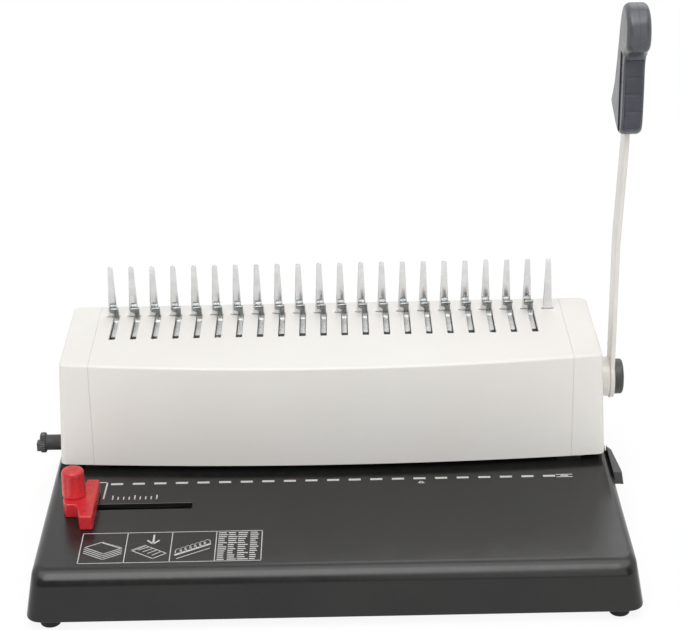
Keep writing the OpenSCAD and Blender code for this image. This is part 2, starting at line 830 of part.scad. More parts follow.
module ram_bar() {
  color([0.5, 0.51, 0.53])
    difference() {
      union() {
        box([-ram_half, ram_front, ram_z], [ram_half, ram_back, ram_up]);
        box([-ram_half, ram_back - 1, lobe_z], [-lobe_in, lobe_back, ram_up]);
        box([lobe_in, ram_back - 1, lobe_z], [ram_half, lobe_back, ram_up]);
      }
      for (i = [0 : punch_n - 1])
        translate([punch_x0 + i * pitch, punch_y, ram_z + punch_seat / 2 - 0.5])
          cube([punch_w + 2 * punch_gap, punch_d + 2 * punch_gap, punch_seat + 1], center = true);
      for (s = [-1, 1]) {
        bar_z(ram_z - 1, ram_up + 1, s * post_x, post_y, post_r + run_gap);
        for (x = [-2.5, 2.5])
          bar_y(ram_back - rack_bolt - 0.3, ram_back + 1, s * pinion_x + x, ram_up - 3, 1.2 + run_gap);
      }
    }
}

module punches() {
  color([0.78, 0.78, 0.8])
    for (i = [0 : punch_n - 1])
      box(
        [punch_x0 + i * pitch - punch_w / 2, punch_y - punch_d / 2, punch_tip],
        [punch_x0 + i * pitch + punch_w / 2, punch_y + punch_d / 2, ram_z + punch_seat]
      );
}

// One upright rack behind the ram bar
module ram_rack(s) {
  root = rack_y - rack_ded;
  rack_last = floor(ram_travel / PI / gear_m) + 2;
  top = pivot_z + (rack_last + 1) * PI * gear_m + 1.2;
  pts = [for (p = rack_teeth(-1, rack_last)) [rack_y + p[1], pivot_z + p[0]]];
  difference() {
    along_x(s * pinion_x - pinion_w / 2, s * pinion_x + pinion_w / 2)
      polygon(
        concat(
          [[ram_back, lobe_z], [root, lobe_z]],
          pts,
          [
            [root, top],
            [root - 6, top],
            [root - 6, ram_up],
            [ram_back, ram_up]
          ]
        )
      );
    for (x = [-2.5, 2.5]) {
      bar_y(ram_back - 1, root + 1, s * pinion_x + x, ram_up - 3, 1.2 + run_gap);
      bar_y(root - 2.2, root + 3, s * pinion_x + x, ram_up - 3, 2.1 + run_gap);
    }
  }
}

module left_rack() {
  color([0.6, 0.6, 0.62])
    ram_rack(-1);
}

module right_rack() {
  color([0.6, 0.6, 0.62])
    ram_rack(1);
}

module rack_screws() {
  color([0.3, 0.3, 0.32])
    for (s = [-1, 1], x = [-2.5, 2.5]) {
      bar_y(rack_y - rack_ded - 2.2, rack_y - rack_ded - 0.2, s * pinion_x + x, ram_up - 3, 2.1);
      bar_y(ram_back - rack_bolt, rack_y - rack_ded - 2, s * pinion_x + x, ram_up - 3, 1.2);
    }
}

module main_shaft() {
  color([0.72, 0.72, 0.74])
    difference() {
      bar_x(-frame_in - frame_t - 6, arm_out, pivot_y, pivot_z, shaft_r);
      bar_x(arm_out - 14, arm_out + 1, pivot_y, pivot_z, 2.5 + run_gap);
    }
}

module shaft_bushes() {
  color([0.72, 0.55, 0.3])
    for (s = [-1, 1])
      difference() {
        union() {
          bar_x(
            s > 0 ? frame_in - 1.8 : -frame_in - frame_t - 1.5,
            s > 0 ? frame_out + 1.5 : -frame_in + 1.8,
            pivot_y, pivot_z, shaft_r + 2.5
          );
          bar_x(s > 0 ? frame_in - 2 : -frame_in, s > 0 ? frame_in : -frame_in + 2, pivot_y, pivot_z, shaft_r + 4.5);
        }
        bar_x(-base_w / 2, base_w / 2, pivot_y, pivot_z, shaft_r + run_gap);
      }
}

module shaft_clips() {
  color([0.25, 0.25, 0.26])
    for (s = [-1, 1])
      difference() {
        x = frame_out + 1.5 + slide_gap;
        bar_x(s > 0 ? x : -x - 1.2, s > 0 ? x + 1.2 : -x, pivot_y, pivot_z, shaft_r + 3);
        bar_x(-base_w / 2, base_w / 2, pivot_y, pivot_z, shaft_r + run_gap);
      }
}

// One full pinion on the main shaft, a tooth pointing to the front
module pinion(s) {
  difference() {
    along_x(s * pinion_x - pinion_w / 2, s * pinion_x + pinion_w / 2)
      translate([pivot_y, pivot_z])
        polygon(teeth(pinion_r, pinion_z, [for (k = [0 : pinion_z - 1]) 180 + k * 360 / pinion_z]));
    bar_x(-base_w / 2, base_w / 2, pivot_y, pivot_z, shaft_r + run_gap);
  }
}

module left_pinion() {
  color([0.55, 0.55, 0.57])
    pinion(-1);
}

module right_pinion() {
  color([0.55, 0.55, 0.57])
    pinion(1);
}

// One toothed sector on the main shaft, a tooth pointing up
module sector(s) {
  angles = [for (k = [-12 : 2]) 90 + k * 360 / sector_z];
  difference() {
    union() {
      along_x(s * sector_x - sector_w / 2, s * sector_x + sector_w / 2)
        translate([pivot_y, pivot_z])
          polygon(concat([[-3, -3]], teeth(sector_r, sector_z, angles)));
      bar_x(s * sector_x - sector_w / 2, s * sector_x + sector_w / 2, pivot_y, pivot_z, shaft_r + 4);
    }
    bar_x(-base_w / 2, base_w / 2, pivot_y, pivot_z, shaft_r + run_gap);
  }
}

module left_sector() {
  color([0.55, 0.55, 0.57])
    sector(-1);
}

module right_sector() {
  color([0.55, 0.55, 0.57])
    sector(1);
}

module hook_sled() {
  color([0.68, 0.69, 0.71])
    box([-sled_x, sled_front, sled_z], [sled_x, hook_back, sled_up]);
}

module sled_racks() {
  color([0.6, 0.6, 0.62])
    for (s = [-1, 1])
      along_x(s * sector_x - sector_w / 2, s * sector_x + sector_w / 2)
        polygon(
          concat(
            [[sled_front, sled_z], [sled_front, hook_rack_z + rack_ded]],
            [for (p = rack_teeth(-1, floor(hook_travel / PI / gear_m))) [pivot_y + p[0], hook_rack_z - p[1]]],
            [[hook_back - 0.2, hook_rack_z + rack_ded], [hook_back - 0.2, sled_z]]
          )
        );
}

module comb_hooks() {
  color([0.35, 0.36, 0.38])
    for (i = [0 : hook_n - 1]) {
      x = tine_x0 + i * pitch + hook_off;
      left = x + hook_w / 2 - hook_head_w;
      box([x - hook_w / 2, hook_back - hook_t, sled_up], [x + hook_w / 2, hook_back, cover_top + hook_h]);
      box([left, hook_back - hook_t, cover_top + hook_h - 4], [x + hook_w / 2, hook_back, cover_top + hook_h]);
      box(
        [left, hook_back - hook_t - hook_nose, cover_top + hook_h - 1.4],
        [x + hook_w / 2, hook_back - hook_t + 0.2, cover_top + hook_h]
      );
      box([x - hook_w / 2, strip_front, strip_z], [x + hook_w / 2, hook_back - hook_t + 0.2, strip_z + hook_t]);
      box([x - hook_w / 2, strip_front, sled_up], [x + hook_w / 2, strip_front + hook_t, strip_z + 0.2]);
    }
}

// One grooved rail that carries an edge of the hook sled
module rail(s) {
  difference() {
    box(
      [s > 0 ? sled_x - 2.5 : -frame_in, sled_front - hook_travel - 1, sled_z - 3],
      [s > 0 ? frame_in : -sled_x + 2.5, tine_front, sled_up + 3]
    );
    box(
      [s > 0 ? sled_x - 4 : -sled_x - slide_gap, 0, sled_z - slide_gap],
      [s > 0 ? sled_x + slide_gap : -sled_x + 4, base_d, sled_up + slide_gap]
    );
  }
}

module left_rail() {
  color([0.2, 0.2, 0.21])
    rail(-1);
}

module right_rail() {
  color([0.2, 0.2, 0.21])
    rail(1);
}

module tine_bar() {
  color([0.62, 0.63, 0.65])
    difference() {
      box([-frame_in, tine_back, bar_z0], [frame_in, bar_y1, bar_z1]);
      for (x = bar_screws)
        bar_z(bar_z0 - 1, bar_z1 + 1, x, bar_bolt[0], 1.4 + run_gap);
      for (x = [-frame_in, frame_in])
        bar_x(x - 12, x + 12, bar_bolt[0], bar_bolt[1], 2 + run_gap);
    }
}

module comb_tines() {
  color([0.85, 0.86, 0.88])
    for (i = [0 : tine_n - 1])
      translate([tine_x0 + i * pitch, tine_back, 0])
        rotate([90, 0, 0])
          linear_extrude(tine_t) {
            polygon([
              [-tine_w / 2, bar_z0],
              [tine_w / 2, bar_z0],
              [tine_w / 2, cover_top + 1],
              [tine_tip_w / 2, cover_top + tine_h - tine_tip_w / 2],
              [-tine_tip_w / 2, cover_top + tine_h - tine_tip_w / 2],
              [-tine_w / 2, cover_top + 1]
            ]);
            translate([0, cover_top + tine_h - tine_tip_w / 2])
              circle(r = tine_tip_w / 2, $fn = 32);
          }
}

// The housing's outline at one height, moved in by a cut
module cover_slice(z, cut) {
  t = (z - cover_low) / (cover_top - cover_low);
  hx = mix(cover_w_low, cover_w_top, t) / 2 - cut;
  ym = mix(bow_low_mid, bow_top_mid, t) + cut;
  ye = mix(bow_low_end, bow_top_end, t) + cut;
  translate([0, 0, z])
    linear_extrude(0.02)
      offset(r = cover_corner_r, $fn = 24)
        offset(delta = -cover_corner_r)
          polygon(
            concat(
              [for (i = [0 : 20]) let (u = i / 10 - 1) [u * hx, ym + (ye - ym) * u * u]],
              [[hx, cover_rear - cut], [-hx, cover_rear - cut]]
            )
          );
}

// The whole housing as one hollow skin, open below
module cover_skin() {
  difference() {
    hull() {
      cover_slice(side_low, 0);
      for (a = [0 : 22.5 : 90])
        cover_slice(cover_top - 0.02 - cover_edge_r * (1 - sin(a)), cover_edge_r * (1 - cos(a)));
    }
    hull() {
      cover_slice(side_low - 1, cover_wall);
      cover_slice(cover_under - 0.02, cover_wall);
    }
    box([-base_w, -base_d, 0], [base_w, frame_front + 2, cover_low]);
  }
}

module top_cover() {
  color([0.92, 0.91, 0.89])
    difference() {
      union() {
        intersection() {
          cover_skin();
          box([-seam_x + 0.1, -base_d, 0], [seam_x - 0.1, base_d, cover_top + 1]);
        }
        for (x = bar_screws)
          bar_z(bar_z1, cover_under + 0.5, x, bar_bolt[0], 3);
      }
      box([-base_w, bar_y1 + 4, 0], [base_w, base_d, cover_under - 2]);
      for (i = [0 : tine_n - 1])
        box(
          [tine_x0 + i * pitch - tine_slot_l / 2, tine_front - 0.6, cover_under - 1],
          [tine_x0 + i * pitch + tine_slot_l / 2, tine_back + 0.6, cover_top + 1]
        );
      for (i = [0 : hook_n - 1])
        box(
          [tine_x0 + i * pitch + hook_off - hook_slot_w / 2, hook_slot_front, cover_under - 1],
          [tine_x0 + i * pitch + hook_off + hook_slot_w / 2, tine_front, cover_top + 1]
        );
      for (x = bar_screws)
        bar_z(bar_z1 - 1, cover_top - 1, x, bar_bolt[0], 1.4 + run_gap);
    }
}

// One end cap with its screw bosses
module end_cap(s) {
  x0 = frame_out;
  difference() {
    union() {
      intersection() {
        cover_skin();
        box([s > 0 ? seam_x + 0.1 : -base_w, -base_d, 0], [s > 0 ? base_w : -seam_x - 0.1, base_d, cover_top + 1]);
      }
      for (p = cap_places)
        bar_x(s > 0 ? x0 : -x0 - boss_l, s > 0 ? x0 + boss_l : -x0, p[0], p[1], 5);
    }
    for (p = cap_places) {
      bar_x(s > 0 ? x0 - 1 : -base_w, s > 0 ? base_w : -x0 + 1, p[0], p[1], 1.9 + run_gap);
      bar_x(s > 0 ? x0 + 6 : -base_w, s > 0 ? base_w : -x0 - 6, p[0], p[1], 3.6 + run_gap);
    }
    if (s > 0)
      bar_x(x0, base_w, pivot_y, pivot_z, shaft_r + 1.5);
    else
      bar_x(-base_w, -x0, depth_y, depth_z, depth_r + 1);
  }
}

module left_cap() {
  color([0.92, 0.91, 0.89])
    end_cap(-1);
}

module right_cap() {
  color([0.92, 0.91, 0.89])
    end_cap(1);
}

module cap_screws() {
  color([0.3, 0.3, 0.32])
    for (p = cap_places, s = [-1, 1]) {
      x0 = frame_out;
      bar_x(s > 0 ? x0 + 6 : -x0 - 8.2, s > 0 ? x0 + 8.2 : -x0 - 6, p[0], p[1], 3.6);
      bar_x(s > 0 ? frame_in + 0.3 : -x0 - 6.2, s > 0 ? x0 + 6.2 : -frame_in - 0.3, p[0], p[1], 1.9);
    }
}

module rear_panel() {
  color([0.9, 0.89, 0.87])
    difference() {
      union() {
        box(
          [-seam_x + 0.1, cover_rear - cover_wall, side_low],
          [seam_x - 0.1, cover_rear, cover_under - 2.2]
        );
        for (s = [-1, 1], z = rear_heights)
          bar_y(frame_rear, cover_rear - 1, s * rear_screw_x, z, 4.5);
      }
      for (s = [-1, 1], z = rear_heights) {
        bar_y(frame_rear - 1, cover_rear + 1, s * rear_screw_x, z, 1.5 + run_gap);
        bar_y(cover_rear - 2.2, cover_rear + 1, s * rear_screw_x, z, 2.8 + run_gap);
      }
    }
}

module rear_screws() {
  color([0.3, 0.3, 0.32])
    for (s = [-1, 1], z = rear_heights) {
      bar_y(cover_rear - 2.2, cover_rear - 0.2, s * rear_screw_x, z, 2.8);
      bar_y(frame_rear - 2.5, cover_rear - 2, s * rear_screw_x, z, 1.5);
    }
}

module cover_screws() {
  color([0.3, 0.3, 0.32])
    for (x = bar_screws) {
      bar_z(bar_z0 - 1.8, bar_z0, x, bar_bolt[0], 2.4);
      bar_z(bar_z0 - 0.2, cover_top - 1.2, x, bar_bolt[0], 1.4);
    }
}

module lever_arm() {
  color([0.88, 0.87, 0.84])
    difference() {
      intersection() {
        along_x(arm_in - 1, grip_x + 8)
          union() {
            translate([pivot_y, pivot_z])
              circle(r = arm_end_r, $fn = 96);
            translate([pivot_y - arm_w / 2, pivot_z]) {
              square([arm_w, tang_z - pivot_z]);
              square([tang_y - pivot_y + arm_w / 2, arm_top - pivot_z]);
            }
          }
        translate([0, base_d / 2, 0])
          rotate([90, 0, 0])
            linear_extrude(base_d)
              polygon([
                [arm_in, base_top],
                [arm_out, base_top],
                [arm_out, pivot_z + arm_low],
                [arm_out + arm_lean, pivot_z + arm_high],
                [arm_out + arm_lean, arm_top],
                [arm_in + arm_lean, arm_top],
                [arm_in + arm_lean, pivot_z + arm_high],
                [arm_in, pivot_z + arm_low]
              ]);
      }
      bar_x(arm_in - 2, arm_out + 2, pivot_y, pivot_z, shaft_r + run_gap);
      for (z = grip_screw_z)
        bar_x(grip_x - 5, grip_x + 5, grip_screw_y, z, 2 + run_gap);
    }
}

module lever_hub() {
  color([0.88, 0.87, 0.84])
    difference() {
      bar_x(hub_in, arm_in, pivot_y, pivot_z, hub_r);
      bar_x(hub_in - 1, arm_in + 1, pivot_y, pivot_z, shaft_r + run_gap);
    }
}

module pivot_screw() {
  color([0.3, 0.3, 0.32]) {
    bar_x(arm_out, arm_out + 2.6, pivot_y, pivot_z, shaft_r + 2);
    bar_x(arm_out - 13, arm_out + 0.2, pivot_y, pivot_z, 2.5);
  }
}

module pivot_cap() {
  color([0.14, 0.14, 0.15])
    translate([arm_out, pivot_y, pivot_z])
      rotate([0, 90, 0])
        rotate_extrude($fn = 96)
          polygon(
            concat(
              [[shaft_r + 2.4, 0], [cap_r, 0], [cap_r, cap_t * 0.66]],
              [for (a = [15 : 15 : 75]) [cap_r - 2 + 2 * cos(a), cap_t * 0.66 + cap_t * 0.25 * sin(a)]],
              [[cap_r - 2.8, cap_t * 0.925], [cap_r - 7, cap_t * 0.98], [0, cap_t], [0, 3], [shaft_r + 2.4, 3]]
            )
          );
}

// Side outline of the grip: depth from the shaft and height from its lower end, front bottom first
grip_points = curve([
  [-26, 14.8], [-26.2, 32.8], [-25.6, 47.8], [-29.5, 56.3], [-38, 61.8], [-41, 69.5], [-38.8, 79.2],
  [-31.5, 86], [-22, 88], [-14, 85.6], [-8.5, 78.3], [-4, 66.8], [-0.5, 54.8], [3.5, 42.8],
  [9, 29.5], [15.3, 18], [17.2, 13.8], [14, 10], [3, 4.6], [-9, 0.9], [-17, 1], [-23.5, 5.8]
], 3);

// One half of the grip as layers from its middle to its rounded side
module grip_half(s) {
  h = grip_w / 2;
  rows = concat([[0, 0]], [for (a = [0 : 22.5 : 90]) [h - grip_round * (1 - sin(a)), grip_round * (1 - cos(a))]]);
  n = len(grip_points);
  m = len(rows);
  pts = [for (q = rows, p = inset(grip_points, q[1])) [s * q[0], p[0], p[1]]];
  sides = [
    for (i = [0 : m - 2], j = [0 : n - 1])
      [i * n + j, i * n + (j + 1) % n, (i + 1) * n + (j + 1) % n, (i + 1) * n + j]
  ];
  near = [for (j = [0 : n - 1]) n - 1 - j];
  far = [for (j = [0 : n - 1]) (m - 1) * n + j];
  faces = concat(sides, [near, far]);
  turned = [for (f = faces) [for (k = [len(f) - 1 : -1 : 0]) f[k]]];
  difference() {
    translate([grip_x, pivot_y, grip_z])
      polyhedron(points = pts, faces = s > 0 ? turned : faces, convexity = 6);
    for (far = [[pivot_y + arm_w / 2, tang_z], [tang_y, arm_top]])
      box(
        [grip_x - arm_t / 2 - run_gap, pivot_y - arm_w / 2 - run_gap, pivot_z + arm_low],
        [grip_x + arm_t / 2 + run_gap, far[0] + run_gap, far[1] + run_gap]
      );
    box(
      [grip_x - inlay_w / 2 - run_gap, pivot_y - 60, inlay_z0 - run_gap],
      [grip_x + inlay_w / 2 + run_gap, inlay_y + inlay_t + run_gap, inlay_z1 + run_gap]
    );
    for (z = grip_screw_z) {
      bar_x(grip_x - 5.4, grip_x + 20, grip_screw_y, z, 2 + run_gap);
      bar_x(grip_x + 5, grip_x + 20, grip_screw_y, z, 3.4 + run_gap);
    }
  }
}

module grip_left() {
  color([0.5, 0.51, 0.52])
    grip_half(-1);
}

module grip_right() {
  color([0.5, 0.51, 0.52])
    grip_half(1);
}

module grip_inlay() {
  y1 = inlay_y + inlay_t;
  color([0.26, 0.28, 0.32])
    along_x(grip_x - inlay_w / 2, grip_x + inlay_w / 2)
      polygon(
        concat(
          [[y1, inlay_z1], [y1, inlay_z0], [inlay_y + 1.2, inlay_z0], [inlay_y - 0.4, inlay_z0 + 2]],
          [
            for (k = [1 : 3], j = [0 : 3])
              let (z = mix(inlay_z0, inlay_z1, k / 4))
              [[inlay_y - 0.8, z - 1], [inlay_y + 0.6, z - 0.4], [inlay_y + 0.6, z + 0.4], [inlay_y - 0.8, z + 1]][j]
          ],
          [[inlay_y - 0.4, inlay_z1]]
        )
      );
}

module grip_screws() {
  color([0.3, 0.3, 0.32])
    for (z = grip_screw_z) {
      bar_x(grip_x - 5.1, grip_x + 5.2, grip_screw_y, z, 2);
      bar_x(grip_x + 5, grip_x + 7, grip_screw_y, z, 3.4);
    }
}

module edge_guide() {
  right = guide_x + fence_x;
  color([0.78, 0.16, 0.18])
    difference() {
      union() {
        translate([0, 0, guide_low])
          linear_extrude(guide_h)
            polygon([
              [guide_x - 6.6, slot_y + 12],
              [guide_x - 6.6, slot_y - 7],
              [guide_x - 4.5, slot_y - 13],
              [guide_x + 3, slot_y - 13],
              [right - fence_t, slot_y - 29],
              [right, slot_y - 29],
              [right, slot_y + 20],
              [right - fence_t, slot_y + 20],
              [right - fence_t - 1, slot_y + 12]
            ]);
        box(
          [guide_x - 6.5, slot_y - slot_w / 2 + slide_gap, nut_up],
          [guide_x + 9, slot_y + slot_w / 2 - slide_gap, guide_low + 1]
        );
      }
      bar_z(nut_up - 1, guide_low + guide_h + 1, guide_x, slot_y, stud_r + run_gap);
    }
}

module guide_nut() {
  color([0.6, 0.6, 0.62])
    difference() {
      box([guide_x - 9, slot_y - 7, nut_up - 4], [guide_x + 9, slot_y + 7, nut_up]);
      bar_z(nut_up - 5, nut_up + 1, guide_x, slot_y, stud_r + run_gap);
    }
}

module guide_knob() {
  color([0.8, 0.17, 0.19])
    translate([guide_x, slot_y, gknob_z])
      difference() {
        rotate_extrude($fn = 72)
          polygon(
            concat(
              [[0, 0], [gknob_r - 0.6, 0], [gknob_r, 0.6]],
              [for (a = [0 : 15 : 90]) [gknob_r - 3.1 + 2.5 * cos(a), gknob_h - 2.5 + 2.5 * sin(a)]],
              [[0, gknob_h]]
            )
          );
        translate([0, 0, -1])
          cylinder(r = stud_r + run_gap, h = 12, $fn = part_fn);
      }
}

module guide_stud() {
  color([0.7, 0.7, 0.72])
    bar_z(nut_up - 6, gknob_z + 11, guide_x, slot_y, stud_r);
}

module depth_shaft() {
  color([0.7, 0.7, 0.72])
    bar_x(dknob_end + 5, frame_out + 2, depth_y, depth_z, depth_r);
}

module depth_cams() {
  color([0.75, 0.74, 0.7])
    for (x = cam_places)
      difference() {
        bar_x(x - cam_w / 2, x + cam_w / 2, depth_y - cam_off, depth_z, cam_r);
        bar_x(x - cam_w, x + cam_w, depth_y, depth_z, depth_r + run_gap);
      }
}

module depth_knob() {
  color([0.2, 0.2, 0.21])
    translate([dknob_end, depth_y, depth_z])
      rotate([0, 90, 0])
        difference() {
          union() {
            rotate_extrude($fn = 72)
              polygon([
                [0, dknob_point],
                [dknob_rim_r - 1, dknob_point],
                [dknob_rim_r, dknob_point + 1],
                [dknob_rim_r, dknob_point + dknob_rim_t - 0.5],
                [dknob_rim_r - 0.5, dknob_point + dknob_rim_t],
                [dknob_r, dknob_point + dknob_rim_t],
                [dknob_r, dknob_l],
                [0, dknob_l]
              ]);
            linear_extrude(dknob_point + 1)
              polygon([[-0.8, -3], [5.2, -3], [6, -1.6], [6, 1.6], [5.2, 3], [-0.8, 3]]);
          }
          translate([0, 0, 5])
            cylinder(r = depth_r + run_gap, h = 40, $fn = part_fn);
        }
}

base_shell();
bottom_plate();
rubber_feet();
foot_screws();
bottom_screws();
chip_tray();
left_frame();
right_frame();
frame_screws();
tie_rods();
tie_screws();
die_plate();
throat_spacers();
guide_plate();
die_bolts();
guide_posts();
ram_springs();
ram_bar();
punches();
left_rack();
right_rack();
rack_screws();
main_shaft();
shaft_bushes();
shaft_clips();
left_pinion();
right_pinion();
left_sector();
right_sector();
hook_sled();
sled_racks();
comb_hooks();
left_rail();
right_rail();
tine_bar();
comb_tines();
top_cover();
left_cap();
right_cap();
cap_screws();
rear_panel();
rear_screws();
cover_screws();
lever_arm();
lever_hub();
pivot_screw();
pivot_cap();
grip_left();
grip_right();
grip_inlay();
grip_screws();
edge_guide();
guide_nut();
guide_knob();
guide_stud();
depth_shaft();
depth_cams();
depth_knob();
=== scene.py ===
import json
import math

import bmesh
import bpy
import numpy as np
from mathutils import Matrix, Vector


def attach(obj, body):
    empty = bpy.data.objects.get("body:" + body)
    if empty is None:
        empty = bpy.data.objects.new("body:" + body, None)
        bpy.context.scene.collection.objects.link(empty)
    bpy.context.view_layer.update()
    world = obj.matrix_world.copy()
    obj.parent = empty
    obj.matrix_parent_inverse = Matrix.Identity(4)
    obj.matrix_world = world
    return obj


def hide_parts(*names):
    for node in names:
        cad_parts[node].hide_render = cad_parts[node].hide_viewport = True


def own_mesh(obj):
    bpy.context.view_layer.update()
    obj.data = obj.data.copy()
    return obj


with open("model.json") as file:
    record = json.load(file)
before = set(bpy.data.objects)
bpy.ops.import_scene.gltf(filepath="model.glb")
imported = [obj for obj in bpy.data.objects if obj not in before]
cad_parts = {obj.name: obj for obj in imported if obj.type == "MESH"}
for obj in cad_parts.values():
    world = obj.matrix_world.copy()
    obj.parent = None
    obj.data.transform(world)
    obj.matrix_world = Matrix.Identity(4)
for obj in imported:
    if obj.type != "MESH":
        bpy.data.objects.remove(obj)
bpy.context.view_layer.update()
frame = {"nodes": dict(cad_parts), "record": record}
nodes = frame["nodes"]
scene = bpy.context.scene
scene.view_settings.view_transform = "Standard"
mm = 0.001  # the part's sizes below are in millimetres, in the machine's own frame
tau = 2 * math.pi
past = 5.0  # cutters reach this far past the surface that they cut
far = 300.0  # beyond every side of the base and the housing
print("frame loaded:", len(nodes), "nodes")


def pick(shape, names):
    # the named values of a dictionary, in order
    return (shape[name] for name in names.split())


# camera, its focal length and image width in pixels
cameraView = dict(place=(6.27, -1134.8, 667.18), pitch=24.22, yaw=0.02, roll=-1.11, focal=1953.56,
                  imageWidth=680, sensor=36.0, clip=(0.01, 100))


def makeCamera(c):
    # looks along +Y, tipped down by the pitch, then rolled about its own line of sight
    pitch, yaw, roll = map(math.radians, pick(c, "pitch yaw roll"))
    ahead = Vector((math.sin(yaw) * math.cos(pitch), math.cos(yaw) * math.cos(pitch), -math.sin(pitch)))
    side = ahead.cross(Vector((0, 0, 1))).normalized()
    up = side.cross(ahead)
    right = math.cos(roll) * side + math.sin(roll) * up
    top = math.cos(roll) * up - math.sin(roll) * side
    data = bpy.data.cameras.new("photoCamera")
    data.sensor_width = c["sensor"]
    data.lens = c["focal"] * c["sensor"] / c["imageWidth"]
    data.clip_start, data.clip_end = c["clip"]
    cam = bpy.data.objects.new("photoCamera", data)
    scene.collection.objects.link(cam)
    turn = Matrix((right, top, -ahead)).transposed().to_4x4()
    cam.matrix_world = Matrix.Translation(Vector(c["place"]) * mm) @ turn
    scene.camera = cam


makeCamera(cameraView)
print("camera set")


# materials
def startMaterial(name):
    mat = bpy.data.materials.new(name)
    mat.use_nodes = True
    tree = mat.node_tree
    shader = tree.nodes["Principled BSDF"]
    place = tree.nodes.new("ShaderNodeTexCoord").outputs["Object"]
    return mat, tree, shader, place


def feed(tree, node, inputs):
    # each input is linked to a socket or set to a value
    for key, value in inputs.items():
        if isinstance(value, bpy.types.NodeSocket):
            tree.links.new(value, node.inputs[key])
        else:
            node.inputs[key].default_value = value


def addNode(tree, kind, inputs, **settings):
    node = tree.nodes.new("ShaderNode" + kind)
    for key, value in settings.items():
        setattr(node, key, value)
    feed(tree, node, inputs)
    return node


def noiseOf(tree, place, size, detail, stretch=None):
    # cloudy noise whose blotches are about the given size in millimetres
    if stretch:
        place = addNode(tree, "Mapping", {"Vector": place, "Scale": stretch}).outputs["Vector"]
    noise = addNode(tree, "TexNoise", {"Vector": place, "Scale": 1 / (size * mm), "Detail": detail})
    return noise.outputs["Fac"]


def spread(tree, value, low, high, fromLow=0.35, fromHigh=0.65):
    # maps one range of a value to another; most of a noise lies in the range taken by default
    ends = {"From Min": fromLow, "From Max": fromHigh, "To Min": low, "To Max": high}
    return addNode(tree, "MapRange", {"Value": value, **ends}).outputs["Result"]


def maths(tree, operation, a, b):
    return addNode(tree, "Math", {0: a, 1: b}, operation=operation).outputs[0]


def blendColours(tree, factor, a, b):
    # the colours of a mix node are its sockets 6, 7 and 2
    return addNode(tree, "Mix", {0: factor, 6: a, 7: b}, data_type="RGBA").outputs[2]


def srgb(colour):
    # screen colour out of 255 to the linear value that a shader takes
    c = np.array(colour) / 255
    linear = np.where(c <= 0.04045, c / 12.92, ((c + 0.055) / 1.055) ** 2.4)
    return (*linear.round(5).tolist(), 1)


finishNoise = dict(patchDetail=4, grainDetail=2, glossDetail=5, glossShare=0.37, speckFrom=(0.5, 0.72),
                   wearAndPaintedLightSize=5, wearAndPaintedLightDetail=6, wearAndPaintedLightLeast=0.2, coatRough=0.1)


def finishOf(name, f):
    # two near tones in slow patches, a fine speckle, marked places that take another colour (wear and
    # painted light: a painted highlight with wear on the base's top edge, painted shade on the hook strips'
    # front ends), uneven gloss, and a grain in the surface
    n = finishNoise
    mat, tree, shader, place = startMaterial(name)
    stretch = f.get("stretch")
    patches = noiseOf(tree, place, f["patch"], n["patchDetail"], stretch)
    fine = noiseOf(tree, place, f["grain"], n["grainDetail"], stretch)
    gloss = noiseOf(tree, place, f["patch"] * n["glossShare"], n["glossDetail"], stretch)
    tone = blendColours(tree, spread(tree, patches, 0, 1), srgb(f["dark"]), srgb(f["light"]))
    if "speck" in f:
        share = spread(tree, fine, 0, f.get("speckShare", 0.3), *n["speckFrom"])
        tone = blendColours(tree, share, tone, srgb(f["speck"]))
    # marked places take the marked colour: painted light, and on the base also wear
    if "wearAndPaintedLight" in f:
        wearAndPaintedLight = addNode(tree, "Attribute", {}, attribute_name="wearAndPaintedLight")
        uneven = spread(tree, noiseOf(tree, place, n["wearAndPaintedLightSize"], n["wearAndPaintedLightDetail"]), n["wearAndPaintedLightLeast"], 1)
        share = maths(tree, "MULTIPLY", wearAndPaintedLight.outputs["Fac"], uneven)
        tone = blendColours(tree, share, tone, srgb(f["wearAndPaintedLight"]))
    bump = addNode(tree, "Bump", {"Height": fine, "Distance": f["depth"] * mm, "Strength": f["bump"]})
    feed(tree, shader, {"Base Color": tone, "Roughness": spread(tree, gloss, *f["rough"]),
                        "Metallic": f.get("metal", 0.0), "Specular IOR Level": f.get("shine", 0.5),
                        "Coat Weight": f.get("coat", 0.0), "Coat Roughness": n["coatRough"],
                        "Normal": bump.outputs["Normal"]})
    return mat


